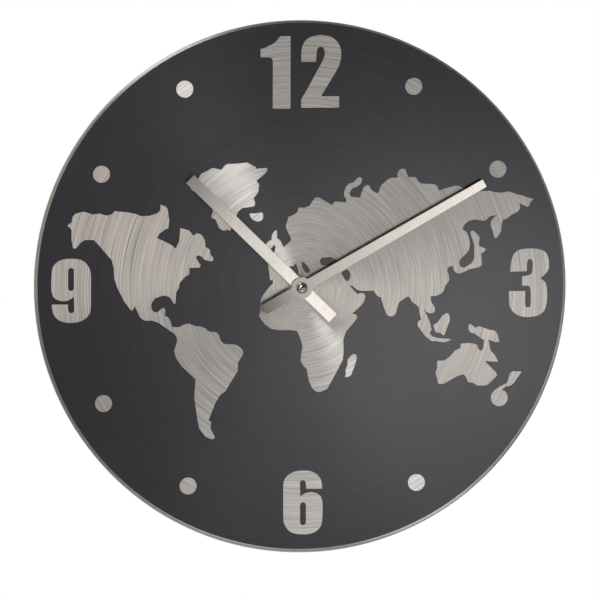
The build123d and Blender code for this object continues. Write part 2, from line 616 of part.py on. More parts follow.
def minute_arbor():
    """The hollow minute arbor with its cannon pinion and the clutch flange behind the middle plate."""
    tail_end = CENTRE_LEVEL + WHEEL + CLUTCH_GAP + CLUTCH_SPRING
    body = disc(CENTRE, MINUTE_ARBOR_DIAMETER, MINUTE_HAND_BACK, WORK_LEVEL)
    body += disc(CENTRE, SPIGOT_DIAMETER, SPIGOT_END, MINUTE_HAND_BACK)
    body += wheel(CENTRE, CANNON_TEETH, MOTION_MODULE, CANNON_PHASE, WORK_LEVEL)
    body += disc(CENTRE, MINUTE_ARBOR_DIAMETER, WORK_LEVEL + WHEEL, tail_end)
    flange_front = PLATE_LEVEL + PLATE + END_SHAKE
    body += disc(CENTRE, CLUTCH_FLANGE_DIAMETER, flange_front, CENTRE_LEVEL - CLUTCH_GAP)
    return body - disc(CENTRE, running(ARBOR_DIAMETER), SPIGOT_END, tail_end)


def clutch_spring():
    """The spring washer that presses the centre wheel to the arbor's flange."""
    front = CENTRE_LEVEL + WHEEL + CLUTCH_GAP
    return ring(CLUTCH_SPRING_DIAMETER, MINUTE_ARBOR_DIAMETER, front, front + CLUTCH_SPRING)


def hour_wheel():
    """The hour wheel with the long pipe that carries the hour hand."""
    body = wheel(CENTRE, HOUR_TEETH, HOUR_MODULE, HOUR_PHASE, HOUR_LEVEL)
    body += disc(CENTRE, HOUR_PIPE_DIAMETER, HOUR_HAND_FACE, HOUR_LEVEL)
    return body - disc(CENTRE, running(MINUTE_ARBOR_DIAMETER), HOUR_HAND_FACE, HOUR_LEVEL + WHEEL)


def minute_work_wheel():
    """The wheel that brings the minute arbor's turning down to the hour wheel."""
    body = wheel(WORK_AXIS, WORK_TEETH, MOTION_MODULE, WORK_PHASE, WORK_LEVEL)
    body += wheel(WORK_AXIS, WORK_PINION_TEETH, HOUR_MODULE, WORK_PINION_PHASE, HOUR_LEVEL)
    root = MOTION_MODULE * (WORK_PINION_TEETH / 2 - DEDENDUM_RATIO)
    body += disc(WORK_AXIS, 2 * root, HOUR_LEVEL + WHEEL, WORK_LEVEL)
    return body + disc(WORK_AXIS, ARBOR_DIAMETER, CASE_INSIDE - PIVOT_DEPTH, PLATE_LEVEL + PLATE)


def setting_pinion():
    """The pinion and arbor that the setting knob turns."""
    body = wheel(SETTING_AXIS, SETTING_TEETH, MOTION_MODULE, SETTING_PHASE, WORK_LEVEL)
    return body + disc(SETTING_AXIS, SETTING_ARBOR_DIAMETER, WORK_LEVEL, -KNOB_RECESS - END_SHAKE)


def setting_knob():
    """The ribbed knob on the back, pressed on the setting arbor."""
    outline = serrated(KNOB_RIBS, KNOB_DIAMETER / 2, KNOB_DIAMETER / 2 - KNOB_RIB, 0)
    outline -= Circle(SETTING_ARBOR_DIAMETER / 2)
    return slab(Pos(*SETTING_AXIS) * outline, -KNOB_RECESS - KNOB_HEIGHT, -KNOB_RECESS)


def centre_wheel():
    """The wheel that drives the minute arbor through the friction clutch."""
    body = wheel(CENTRE, CENTRE_TEETH, CENTRE_MODULE, CENTRE_PHASE, CENTRE_LEVEL)
    return body - disc(CENTRE, running(MINUTE_ARBOR_DIAMETER), CENTRE_LEVEL, CENTRE_LEVEL + WHEEL)


def third_wheel():
    """The wheel between the seconds wheel and the centre wheel."""
    body = wheel(THIRD_AXIS, THIRD_TEETH, THIRD_MODULE, THIRD_PHASE, THIRD_LEVEL)
    body += wheel(THIRD_AXIS, THIRD_PINION_TEETH, CENTRE_MODULE, THIRD_PINION_PHASE, CENTRE_LEVEL)
    return body + disc(THIRD_AXIS, ARBOR_DIAMETER, PLATE_LEVEL, BRIDGE_BACK)


def seconds_wheel():
    """The wheel that turns once a minute, on a long arbor inside the minute arbor."""
    body = wheel(CENTRE, SECONDS_TEETH, SECONDS_MODULE, SECONDS_PHASE, SECONDS_LEVEL)
    body += wheel(CENTRE, SECONDS_PINION_TEETH, THIRD_MODULE, SECONDS_PINION_PHASE, THIRD_LEVEL)
    return body + disc(CENTRE, ARBOR_DIAMETER, MINUTE_HAND_FACE, BRIDGE_BACK)


def intermediate_wheel():
    """The first reduction after the rotor."""
    body = wheel(INTER_AXIS, INTER_TEETH, INTER_MODULE, INTER_PHASE, INTER_LEVEL)
    body += wheel(INTER_AXIS, INTER_PINION_TEETH, SECONDS_MODULE, INTER_PINION_PHASE, SECONDS_LEVEL)
    return body + disc(INTER_AXIS, ARBOR_DIAMETER, PLATE_LEVEL, BRIDGE_BACK)


def rotor_pinion():
    """The rotor's arbor with its pinion."""
    body = wheel(ROTOR_AXIS, ROTOR_TEETH, INTER_MODULE, ROTOR_PHASE, INTER_LEVEL)
    return body + disc(ROTOR_AXIS, ARBOR_DIAMETER, PLATE_LEVEL, BRIDGE_BACK)


def rotor_magnet():
    """The round magnet pressed on the rotor's arbor."""
    front = STATOR_LEVEL + STATOR_SHEET / 2 - MAGNET_HEIGHT / 2
    return ring(MAGNET_DIAMETER, ARBOR_DIAMETER, front, front + MAGNET_HEIGHT, ROTOR_AXIS)


def plate_feet():
    """Where posts stand under the middle plate, clear of every wheel."""
    low = PLATE_FLOOR + FOOT_INSET
    high = PLATE_TOP - FOOT_INSET
    right = (PLATE_RIGHT - FOOT_INSET, low)
    left = (PLATE_STEP + FOOT_INSET, low)
    return (right, left, (PLATE_NECK - FOOT_INSET, high), (PLATE_STEP + FOOT_INSET, high))


def plate_outline(left, knee):
    """A train plate: wide at the bottom, narrow beside the motor, with an arm out to the left."""
    slope = PLATE_RIGHT - PLATE_NECK
    bend = ROTOR_AXIS[1] + POST + 2 * ROOM
    return Polygon(
        (left, PLATE_FLOOR),
        (PLATE_RIGHT, PLATE_FLOOR),
        (PLATE_RIGHT, bend),
        (PLATE_NECK, bend + slope),
        (PLATE_NECK, PLATE_TOP),
        (PLATE_STEP, PLATE_TOP),
        (PLATE_STEP, knee),
        (left, knee),
        align=None,
    )


def pivots(*axes):
    """Holes for plain arbors in a plate."""
    return Sketch() + [Pos(*axis) * Circle(running(ARBOR_DIAMETER) / 2) for axis in axes]


def middle_plate():
    """The plate between the motion work and the going train."""
    knee = SETTING_AXIS[1] + SETTING_ARBOR_DIAMETER + ROOM
    outline = plate_outline(PLATE_LEFT, knee)
    outline -= pivots(WORK_AXIS, THIRD_AXIS, INTER_AXIS, ROTOR_AXIS)
    outline -= Circle(running(MINUTE_ARBOR_DIAMETER) / 2)
    outline -= Pos(*SETTING_AXIS) * Circle(running(SETTING_ARBOR_DIAMETER) / 2)
    return slab(outline, PLATE_LEVEL, PLATE_LEVEL + PLATE)


def train_bridge():
    """The rear plate of the going train, standing on four feet on the middle plate."""
    outline = plate_outline(PLATE_STEP, PLATE_FLOOR + ROOM)
    outline -= pivots(CENTRE, THIRD_AXIS, INTER_AXIS, ROTOR_AXIS)
    body = slab(outline, BRIDGE_LEVEL, BRIDGE_BACK)
    for foot in plate_feet():
        body += post(foot, PLATE_LEVEL + PLATE, BRIDGE_LEVEL)
    return body


def stator_posts():
    """Where posts carry the stator: under both legs and at the yoke's far corner."""
    inset = STATOR_LEG / 2
    low = ROTOR_AXIS[1] - STATOR_YOKE + POST / 2
    left = (STATOR_LEFT + inset, COIL_HEIGHT)
    return (left, (STATOR_RIGHT - inset, COIL_HEIGHT), (STATOR_RIGHT - inset, low))


def stator_plate():
    """The U-shaped stator with the rotor's hole in its yoke."""
    top = COIL_HEIGHT + CORE_HEIGHT / 2
    low = ROTOR_AXIS[1] - STATOR_YOKE
    back = STATOR_LEVEL + STATOR_SHEET
    body = box(STATOR_LEFT, STATOR_RIGHT, low, top, STATOR_LEVEL, back)
    inner = (STATOR_LEFT + STATOR_LEG, STATOR_RIGHT - STATOR_LEG)
    body -= box(*inner, ROTOR_AXIS[1] + STATOR_YOKE, top, STATOR_LEVEL, back)
    hole = MAGNET_DIAMETER + 2 * STATOR_GAP
    return body - disc(ROTOR_AXIS, hole, STATOR_LEVEL, back)


def coil_core():
    """The straight core through the coil, lying on the stator's legs."""
    low = COIL_HEIGHT - CORE_HEIGHT / 2
    high = COIL_HEIGHT + CORE_HEIGHT / 2
    return box(STATOR_LEFT, STATOR_RIGHT, low, high, CORE_LEVEL, CORE_LEVEL + STATOR_SHEET)


def along_coil(diameter, left, right):
    """A round bar along the coil's axis."""
    bar = Cylinder(diameter / 2, right - left, rotation=(0, 90, 0))
    return Pos((left + right) / 2, COIL_AXIS, COIL_HEIGHT) * bar


def coil_bobbin():
    """The flanged spool between the stator's legs."""
    left = STATOR_LEFT + STATOR_LEG + ROOM / 2
    right = STATOR_RIGHT - STATOR_LEG - ROOM / 2
    body = along_coil(BOBBIN_DIAMETER, left, right)
    half = COIL_SIZE / 2
    flange = (COIL_HEIGHT - half, COIL_HEIGHT + half, COIL_AXIS - half, COIL_AXIS + half)
    body += box(left, left + BOBBIN_FLANGE, *flange)
    body += box(right - BOBBIN_FLANGE, right, *flange)
    return body - coil_core()


def coil_winding():
    """The copper winding on the spool."""
    left = STATOR_LEFT + STATOR_LEG + ROOM / 2 + BOBBIN_FLANGE
    right = STATOR_RIGHT - STATOR_LEG - ROOM / 2 - BOBBIN_FLANGE
    return along_coil(WINDING_DIAMETER, left, right) - along_coil(BOBBIN_DIAMETER, left, right)


BOARD_LEFT = -ROOM_RIGHT + BOARD_INSET
BOARD_TOP = ROOM_TOP - BOARD_INSET
BOARD_LEVEL = INTER_LEVEL
BOARD_MIDDLE = (BOARD_LEFT + BOARD_WIDTH / 2, BOARD_TOP - BOARD_HEIGHT / 2)


def board_posts():
    """Where posts carry the circuit board at three of its corners."""
    left = BOARD_LEFT + POST / 2
    right = BOARD_LEFT + BOARD_WIDTH - POST / 2
    high = BOARD_TOP - POST / 2
    low = BOARD_TOP - BOARD_HEIGHT + POST / 2
    return ((left, high), (right, high), (left, low))


def circuit_board():
    """The board that carries the crystal and the driver chip."""
    right = BOARD_LEFT + BOARD_WIDTH
    low = BOARD_TOP - BOARD_HEIGHT
    return box(BOARD_LEFT, right, low, BOARD_TOP, BOARD_LEVEL, BOARD_LEVEL + BOARD_SHEET)


def quartz_can():
    """The crystal's small metal can, lying on the board."""
    can = Cylinder(CAN_DIAMETER / 2, CAN_LENGTH, rotation=(0, 90, 0))
    depth = BOARD_LEVEL + BOARD_SHEET + CAN_DIAMETER / 2
    return Pos(BOARD_MIDDLE[0], depth, BOARD_MIDDLE[1] + BOARD_HEIGHT / 4) * can


def driver_chip():
    """The driver chip on the board."""
    x, z = BOARD_MIDDLE[0], BOARD_MIDDLE[1] - BOARD_HEIGHT / 6
    half = CHIP_SIDE / 2
    back = BOARD_LEVEL + BOARD_SHEET
    return box(x - half, x + half, z - half, z + half, back, back + CHIP_HEIGHT)


def case_sketch(inset):
    """The case outline in the front view, drawn in by an inset."""
    width = 2 * (CASE_RIGHT - inset)
    height = CASE_TOP - CASE_BOTTOM - 2 * inset
    return Pos(0, CASE_MIDDLE) * RectangleRounded(width, height, CASE_CORNER - inset)


def above(low):
    """The front-view field of the case above a height."""
    return Pos(0, (low + CASE_TOP) / 2) * Rectangle(2 * CASE_RIGHT, CASE_TOP - low)


def case_front():
    """The front case: open at the back, with the battery bay below and posts for the works."""
    body = slab(case_sketch(0), CASE_FRONT, 0)
    body -= slab(case_sketch(WALL), CASE_INSIDE, 0)
    body += box(-CASE_RIGHT + WALL, CASE_RIGHT - WALL, BAY_TOP, ROOM_FLOOR, CASE_INSIDE, 0)
    body -= box(-CASE_RIGHT, CASE_RIGHT, BAY_TOP, CASE_TOP, -WALL, 0)
    for point in plate_feet():
        body += post(point, CASE_INSIDE, PLATE_LEVEL)
    for point in stator_posts():
        body += post(point, CASE_INSIDE, STATOR_LEVEL)
    for point in board_posts():
        body += post(point, CASE_INSIDE, BOARD_LEVEL)
    pivot_front = CASE_INSIDE - PIVOT_DEPTH - END_SHAKE
    body -= disc(WORK_AXIS, running(ARBOR_DIAMETER), pivot_front, CASE_INSIDE)
    return body - disc(CENTRE, BUSH_DIAMETER, CASE_FRONT, CASE_INSIDE)


KEYHOLE_HEIGHT = CASE_TOP + TAB_HEIGHT - KEYHOLE_EDGE - KEYHOLE_SLOT / 2 - KEYHOLE_RUN


def case_back():
    """The back cover over the works, with the knob's well and the hanging tab with its keyhole."""
    body = slab(case_sketch(0) & above(BAY_TOP), -WALL, 0)
    low = ROOM_FLOOR + LIP_CLEARANCE
    outside = case_sketch(WALL + LIP_CLEARANCE)
    inside = case_sketch(WALL + LIP_CLEARANCE + LIP_WALL)
    lip = (outside & above(low)) - (inside & above(low + LIP_WALL))
    body += slab(lip, -WALL - LIP_DEPTH, -WALL)
    body += disc(SETTING_AXIS, 2 * (WELL_RADIUS + WELL_WALL), WELL_FLOOR - WELL_WALL, 0)
    body -= disc(SETTING_AXIS, 2 * WELL_RADIUS, WELL_FLOOR, 0)
    body -= disc(SETTING_AXIS, running(SETTING_ARBOR_DIAMETER), WELL_FLOOR - WELL_WALL, WELL_FLOOR)
    tab = Pos(0, CASE_TOP + TAB_HEIGHT / 2) * Rectangle(TAB_WIDTH, TAB_HEIGHT)
    tab = fillet(tab.vertices().group_by(Axis.Y)[-1], TAB_CORNER)
    hole = Pos(0, KEYHOLE_HEIGHT) * Circle(KEYHOLE_DIAMETER / 2)
    slot = Pos(0, KEYHOLE_HEIGHT + KEYHOLE_RUN / 2) * Rectangle(KEYHOLE_SLOT, KEYHOLE_RUN)
    slot += Pos(0, KEYHOLE_HEIGHT + KEYHOLE_RUN) * Circle(KEYHOLE_SLOT / 2)
    body += slab(tab, -TAB_THICKNESS, 0)
    return body - slab(hole + slot, -TAB_THICKNESS, 0)


def battery_cell():
    """The cell in its bay, plus end to the right."""
    shoulder = CELL_LENGTH / 2 - CELL_NUB
    can_length = CELL_LENGTH - CELL_NUB
    can = Cylinder(CELL_DIAMETER / 2, can_length, rotation=(0, 90, 0))
    nub = Cylinder(CELL_NUB_DIAMETER / 2, CELL_NUB, rotation=(0, 90, 0))
    body = Pos(shoulder - can_length / 2, CELL_DEPTH, CELL_HEIGHT) * can
    return body + Pos(shoulder + CELL_NUB / 2, CELL_DEPTH, CELL_HEIGHT) * nub


def contact_plus():
    """The plus contact on the bay's right wall, with a round dimple toward the cell."""
    right = ROOM_RIGHT
    half = CONTACT_HEIGHT / 2
    left = right - CONTACT_SHEET
    strip = box(left, right, CELL_HEIGHT - half, CELL_HEIGHT + half, CASE_INSIDE, CELL_DEPTH + half)
    reach = left - CELL_LENGTH / 2 - CONTACT_GAP
    dimple = Cylinder(CONTACT_DIMPLE_DIAMETER / 2, reach, rotation=(0, 90, 0))
    return strip + Pos(left - reach / 2, CELL_DEPTH, CELL_HEIGHT) * dimple


def contact_minus():
    """The minus contact on the bay's left wall, bent so that its blade springs toward the cell."""
    wall = -ROOM_RIGHT
    half = CONTACT_HEIGHT / 2
    crest = -CELL_LENGTH / 2 - CONTACT_GAP
    outline = Polygon(
        (wall, CELL_HEIGHT - half),
        (wall + CONTACT_SHEET, CELL_HEIGHT - half),
        (crest, CELL_HEIGHT),
        (wall + CONTACT_SHEET, CELL_HEIGHT + half),
        (wall, CELL_HEIGHT + half),
        (wall, CELL_HEIGHT + half - CONTACT_SHEET),
        (crest - CONTACT_SHEET, CELL_HEIGHT),
        (wall, CELL_HEIGHT - half + CONTACT_SHEET),
        align=None,
    )
    return slab(outline, CASE_INSIDE, CELL_DEPTH + CONTACT_WIDTH / 2)


# tooth phases, set so that every pair is in mesh as drawn
WORK_PHASE = 0.0
CANNON_PHASE = meshed(WORK_TEETH, WORK_PHASE, WORK_ANGLE + 180.0, CANNON_TEETH)
SETTING_PHASE = meshed(WORK_TEETH, WORK_PHASE, WORK_ANGLE, SETTING_TEETH)
HOUR_PHASE = 0.0
WORK_PINION_PHASE = meshed(HOUR_TEETH, HOUR_PHASE, WORK_ANGLE, WORK_PINION_TEETH)
CENTRE_PHASE = 0.0
THIRD_PINION_PHASE = meshed(CENTRE_TEETH, CENTRE_PHASE, THIRD_ANGLE, THIRD_PINION_TEETH)
THIRD_PHASE = 0.0
SECONDS_PINION_PHASE = meshed(THIRD_TEETH, THIRD_PHASE, THIRD_ANGLE + 180.0, SECONDS_PINION_TEETH)
SECONDS_PHASE = 0.0
INTER_PINION_PHASE = meshed(SECONDS_TEETH, SECONDS_PHASE, INTER_ANGLE, INTER_PINION_TEETH)
INTER_PHASE = 0.0
ROTOR_PHASE = meshed(INTER_TEETH, INTER_PHASE, ROTOR_ANGLE, ROTOR_TEETH)

PIECES = (
    dial_plate, dial_print, hour_hand, minute_hand, hour_collet, cap_nut, fixing_nut, fixing_washer,
    dial_gasket, centre_bush, minute_arbor, clutch_spring, hour_wheel, minute_work_wheel,
    setting_pinion, setting_knob, centre_wheel, third_wheel, seconds_wheel, intermediate_wheel,
    rotor_pinion, rotor_magnet, middle_plate, train_bridge, stator_plate, coil_core, coil_bobbin,
    coil_winding, circuit_board, quartz_can, driver_chip, case_front, case_back, battery_cell,
    contact_plus, contact_minus,
)

os.makedirs("parts", exist_ok=True)
for piece in PIECES:
    export_step(piece(), f"parts/{piece.__name__}.step")
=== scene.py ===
"""Dresses the world-map wall clock: finishes, dial figures, small trim, studio and camera.

Metres. +Z is up, the dial faces -Y and the wall lies in the plane Y = 0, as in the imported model.
"""

import logging
from dataclasses import dataclass
from enum import Enum
from math import cos, pi, radians, sin
from typing import Iterable, Optional, Sequence

import bmesh
import bpy
from mathutils import Matrix, Quaternion, Vector


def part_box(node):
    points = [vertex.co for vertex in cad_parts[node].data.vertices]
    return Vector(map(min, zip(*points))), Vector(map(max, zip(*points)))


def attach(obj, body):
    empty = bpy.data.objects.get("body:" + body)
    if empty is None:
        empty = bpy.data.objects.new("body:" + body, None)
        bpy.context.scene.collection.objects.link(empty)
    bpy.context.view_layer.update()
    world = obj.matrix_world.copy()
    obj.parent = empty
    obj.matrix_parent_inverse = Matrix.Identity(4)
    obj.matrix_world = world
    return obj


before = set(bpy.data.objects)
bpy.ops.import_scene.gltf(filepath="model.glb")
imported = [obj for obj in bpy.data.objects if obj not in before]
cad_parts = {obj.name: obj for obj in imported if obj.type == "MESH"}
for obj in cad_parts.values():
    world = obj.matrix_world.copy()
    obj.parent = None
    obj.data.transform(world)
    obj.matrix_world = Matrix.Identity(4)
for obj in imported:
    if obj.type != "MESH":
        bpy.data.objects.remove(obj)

LOG = logging.getLogger("wall_clock")
MM = 0.001
# the figures were read off a dial that hangs askew; these set them square on this dial and to its size
PRINT_TURN = radians(-0.55)
PRINT_SPREAD = 1.0027
DIAL_AXIS = (0.0, 1.0, 0.0)
DIAL_PLANE = (1.0, 0.0, 1.0)
BLACK = (0.0, 0.0, 0.0, 1.0)
WHITE = (1.0, 1.0, 1.0, 1.0)
# nearly all values of a noise texture lie in this range
NOISE_RANGE = (0.25, 0.75)
MIDTONE = 0.5
# the phase in radians that a wave texture gains for each unit of its coordinates
WAVE_STEP = 20.0

Point = tuple[float, float]
Colour = tuple[float, float, float]
Run = tuple[Point, ...]


class Body(Enum):
    """The bodies that the scene's own pieces ride on."""

    CLOCK = "clock"
    CELL = "cell"


class Brushing(Enum):
    """The way in which a metal's brush marks run."""

    ROUND = "round the dial's axis"
    ALONG = "along a bar"
    ACROSS = "round a bar that lies along X"


class HandEnd(Enum):
    """The ends of a hand, as the sense of its direction from the axis."""

    TIP = 1.0
    TAIL = -1.0


class Wiring:
    """A node tree that is built node by node."""

    def __init__(self, tree: bpy.types.NodeTree) -> None:
        """Take up a tree.

        Args:
            tree: The node tree of a material or a world.
        """
        self.tree = tree

    def add(self, kind: str, **settings: object) -> bpy.types.Node:
        """Add a node.

        Args:
            kind: The node's type without its ShaderNode prefix.
            **settings: Properties of the node.

        Returns:
            The new node.
        """
        node = self.tree.nodes.new("ShaderNode" + kind)
        for name, value in settings.items():
            setattr(node, name, value)
        return node

    def feed(self, source: object, socket: bpy.types.NodeSocket) -> None:
        """Link a socket, or set a plain value, into a socket.

        Args:
            source: An output socket, a number or a sequence of numbers.
            socket: The input socket.
        """
        if isinstance(source, bpy.types.NodeSocket):
            self.tree.links.new(source, socket)
        else:
            socket.default_value = source

    def math(self, operation: str, *values: object) -> bpy.types.NodeSocket:
        """Work out a number.

        Args:
            operation: The Math node's operation.
            *values: Its inputs, sockets or numbers.

        Returns:
            The result.
        """
        node = self.add("Math", operation=operation)
        for value, socket in zip(values, node.inputs):
            self.feed(value, socket)
        return node.outputs[0]

    def vector(self, operation: str, *values: object) -> bpy.types.Node:
        """Work out a vector.

        Args:
            operation: The Vector Math node's operation.
            *values: Its inputs, sockets or triples.

        Returns:
            The node, whose outputs hold the result.
        """
        node = self.add("VectorMath", operation=operation)
        for value, socket in zip(values, node.inputs):
            self.feed(value, socket)
        return node

    def between(
        self, value: object, bounds: Point, levels: Point, easing: str = "SMOOTHSTEP"
    ) -> bpy.types.NodeSocket:
        """Pass from one level to another.

        Args:
            value: What decides.
            bounds: The values up to which the first and from which the second level holds.
            levels: The two levels.
            easing: The Map Range node's way between them.

        Returns:
            The level.
        """
        node = self.add("MapRange", interpolation_type=easing)
        self.feed(value, node.inputs["Value"])
        names = ("From Min", "From Max", "To Min", "To Max")
        for name, number in zip(names, (*bounds, *levels)):
            node.inputs[name].default_value = number
        return node.outputs["Result"]


class Shader(Wiring):
    """A material that is built node by node round one Principled shader."""

    def __init__(self, name: str) -> None:
        """Start an empty material.

        Args:
            name: The material's name.
        """
        self.material = bpy.data.materials.new(name)
        self.material.use_nodes = True
        super().__init__(self.material.node_tree)
        self.surface = self.tree.nodes["Principled BSDF"]

    def put(self, name: str, source: object) -> None:
        """Feed an input of the Principled shader by its name."""
        self.feed(source, self.surface.inputs[name])

    def place(self) -> bpy.types.NodeSocket:
        """The piece's own coordinates in metres."""
        return self.add("TexCoord").outputs["Object"]

    def noise(
        self, where: object, scale: float = 1.0, detail: float = 3.0
    ) -> bpy.types.NodeSocket:
        """Soft random variation.

        Args:
            where: The coordinates.
            scale: Features per unit of the coordinates.
            detail: Octaves.

        Returns:
            A factor from 0 to 1.
        """
        node = self.add("TexNoise")
        self.feed(where, node.inputs["Vector"])
        node.inputs["Scale"].default_value = scale
        node.inputs["Detail"].default_value = detail
        return node.outputs["Fac"]

    def span(self, factor: object, low: float = 0.0, high: float = 1.0) -> bpy.types.NodeSocket:
        """Spread a noise factor over a range.

        Args:
            factor: The factor.
            low: The value at the low end of the noise.
            high: The value at its high end.

        Returns:
            The spread value.
        """
        return self.between(factor, NOISE_RANGE, (low, high), "LINEAR")

    def blend(self, first: object, second: object, share: float) -> bpy.types.NodeSocket:
        """Mix two factors by the first one's share."""
        rest = self.math("MULTIPLY", second, 1.0 - share)
        return self.math("ADD", self.math("MULTIPLY", first, share), rest)

    def only(self, zone: object, share: float) -> bpy.types.NodeSocket:
        """A share that holds where the zone is 1, and 1 where it is 0."""
        return self.math("SUBTRACT", 1.0, self.math("MULTIPLY", zone, 1.0 - share))

    def tint(self, factor: object, dark: Colour, light: Colour) -> bpy.types.NodeSocket:
        """Mix two colours.

        Args:
            factor: 0 for the dark one, 1 for the light one.
            dark: The first colour.
            light: The second colour.

        Returns:
            The mixed colour.
        """
        node = self.add("Mix", data_type="RGBA")
        # by number, because its number, vector and colour sockets share their names
        amount, first, second, mixed = node.inputs[0], node.inputs[6], node.inputs[7], node.outputs[2]
        self.feed(factor, amount)
        first.default_value = (*dark, 1.0)
        second.default_value = (*light, 1.0)
        return mixed

    def bump(self, height: object, depth: float, strength: float = 1.0) -> None:
        """Rough up the surface.

        Args:
            height: A 0 to 1 height.
            depth: The height of 1 in metres.
            strength: How much of it shows.
        """
        node = self.add("Bump")
        self.feed(height, node.inputs["Height"])
        node.inputs["Distance"].default_value = depth
        node.inputs["Strength"].default_value = strength
        self.put("Normal", node.outputs["Normal"])

    def flat(self) -> bpy.types.NodeSocket:
        """The place on the dial's plane, seen along the axis."""
        return self.vector("MULTIPLY", self.place(), DIAL_PLANE).outputs[0]

    def reach(self) -> bpy.types.NodeSocket:
        """The distance from the dial's axis in metres."""
        return self.vector("LENGTH", self.flat()).outputs["Value"]

    def polar(self, rings: float, arcs: float) -> tuple[bpy.types.NodeSocket, bpy.types.NodeSocket]:
        """Coordinates that run round the dial's axis.

        Args:
            rings: Units for each metre outward.
            arcs: Units for each radian round the axis.

        Returns:
            The coordinates and the outward direction.
        """
        outward = self.vector("NORMALIZE", self.flat()).outputs[0]
        swept = self.vector("SCALE", outward)
        swept.inputs["Scale"].default_value = arcs
        lifted = self.add("CombineXYZ")
        self.feed(self.math("MULTIPLY", self.reach(), rings), lifted.inputs["Y"])
        return self.vector("ADD", swept.outputs[0], lifted.outputs[0]).outputs[0], outward

    def comb(self, across: bpy.types.NodeSocket) -> None:
        """Stretch highlights across the brush marks.

        Args:
            across: The direction across the marks in the piece's own coordinates.
        """
        turned = self.add(
            "VectorTransform", vector_type="VECTOR", convert_from="OBJECT", convert_to="WORLD"
        )
        self.feed(across, turned.inputs[0])
        self.put("Tangent", turned.outputs[0])


def scaled(colour: Colour, factor: float) -> Colour:
    """The colour made lighter or darker by a factor."""
    return tuple(min(1.0, channel * factor) for channel in colour)


@dataclass(frozen=True)
class Finish:
    """A surface finish that belongs to one material slot of the record.

    Attributes:
        name: The material's name.
        slot: The record's material slot; not used.
        colour: The base colour.
        roughness: The mean roughness.
    """

    name: str
    slot: str
    colour: Colour
    roughness: float

    def material(self) -> bpy.types.Material:
        """The finish as a material, made once.

        Returns:
            The material.
        """
        found = bpy.data.materials.get(self.name)
        if found:
            return found
        shader = Shader(self.name)
        shader.put("Base Color", (*self.colour, 1.0))
        shader.put("Roughness", self.roughness)
        self.paint(shader)
        return shader.material

    def paint(self, shader: Shader) -> None:
        """Add the finish's own detail to the shader."""
        raise NotImplementedError

    def shades(self, spread: float) -> tuple[Colour, Colour]:
        """A darker and a lighter shade of the colour."""
        return scaled(self.colour, 1 - spread), scaled(self.colour, 1 + spread)

    def gloss(self, shader: Shader, factor: object, swing: Point) -> bpy.types.NodeSocket:
        """A roughness that swings about the mean with a noise factor."""
        return shader.span(factor, self.roughness + swing[0], self.roughness + swing[1])


@dataclass(frozen=True)
class TurnedDial(Finish):
    """Sheet metal brushed in rings round the dial's axis.

    Attributes:
        anisotropy: How strongly the brushing stretches highlights.
        streak: How far single strokes differ in brightness.
        hub_contrast: The contrast at the axis as a share of the full one.
        calm: How far from the axis the strokes reach full contrast, in metres.
        rim: Where the rolled rim starts, in metres from the axis.
        rim_painted_shade: Painted shade on the rolled rim, as its colour's share of the face's.
        rim_polish: The rim's roughness as a share of the face's.
        wall: Where the flange's wall starts behind the rolled rim, in metres along the axis.
        wall_painted_shade: Painted shade on the flange's wall, as its colour's share of the rim's.
        wall_polish: The wall's roughness as a share of the rim's.
    """

    anisotropy: float = 1.0
    streak: float = 0.65
    hub_contrast: float = 0.6
    calm: float = 0.11
    rim: float = 0.14845
    rim_painted_shade: float = 0.8
    rim_polish: float = 1.5
    wall: float = -0.0174
    wall_painted_shade: float = 0.8
    wall_polish: float = 1.9

    def paint(self, shader: Shader) -> None:
        """Lay long fine strokes and broader soft bands round the axis, and paint shade on the rim and
        the wall.
        """
        fine, outward = shader.polar(rings=2300.0, arcs=2.2)
        coarse, _ = shader.polar(rings=1500.0, arcs=1.3)
        strokes = shader.noise(fine, detail=2.0)
        bands = shader.noise(coarse)
        rolled = shader.math("GREATER_THAN", shader.reach(), self.rim)
        depth = shader.vector("DOT_PRODUCT", shader.place(), DIAL_AXIS).outputs["Value"]
        walled = shader.math("MULTIPLY", rolled, shader.math("GREATER_THAN", depth, self.wall))
        contrast = shader.between(shader.reach(), (0.0, self.calm), (self.hub_contrast, 1.0))
        mixed = shader.span(shader.blend(strokes, bands, share=0.6))
        uneven = shader.math("MULTIPLY", shader.math("SUBTRACT", mixed, MIDTONE), contrast)
        face = shader.tint(shader.math("ADD", uneven, MIDTONE), *self.shades(self.streak))
        # painted shade: the rolled rim and the flange's wall get a darker colour than the face, though
        # they are the same sheet
        edge = shader.vector("SCALE", face)
        rim_painted_shade, wall_painted_shade = shader.only(rolled, self.rim_painted_shade), shader.only(walled, self.wall_painted_shade)
        shader.feed(shader.math("MULTIPLY", rim_painted_shade, wall_painted_shade), edge.inputs["Scale"])
        shader.put("Base Color", edge.outputs[0])
        shader.put("Metallic", 1.0)
        brushed = self.gloss(shader, bands, swing=(-0.05, 0.06))
        rim_polish = shader.only(rolled, self.rim_polish)
        polish = shader.math("MULTIPLY", rim_polish, shader.only(walled, self.wall_polish))
        shader.put("Roughness", shader.math("MULTIPLY", brushed, polish))
        shader.put("Anisotropic", self.anisotropy)
        # the part along the normal drops out, which leaves the direction across the marks:
        # outward on the face and along the axis on the wall
        shader.comb(shader.vector("ADD", outward, DIAL_AXIS).outputs[0])
        shader.bump(strokes, depth=4e-6, strength=0.5)


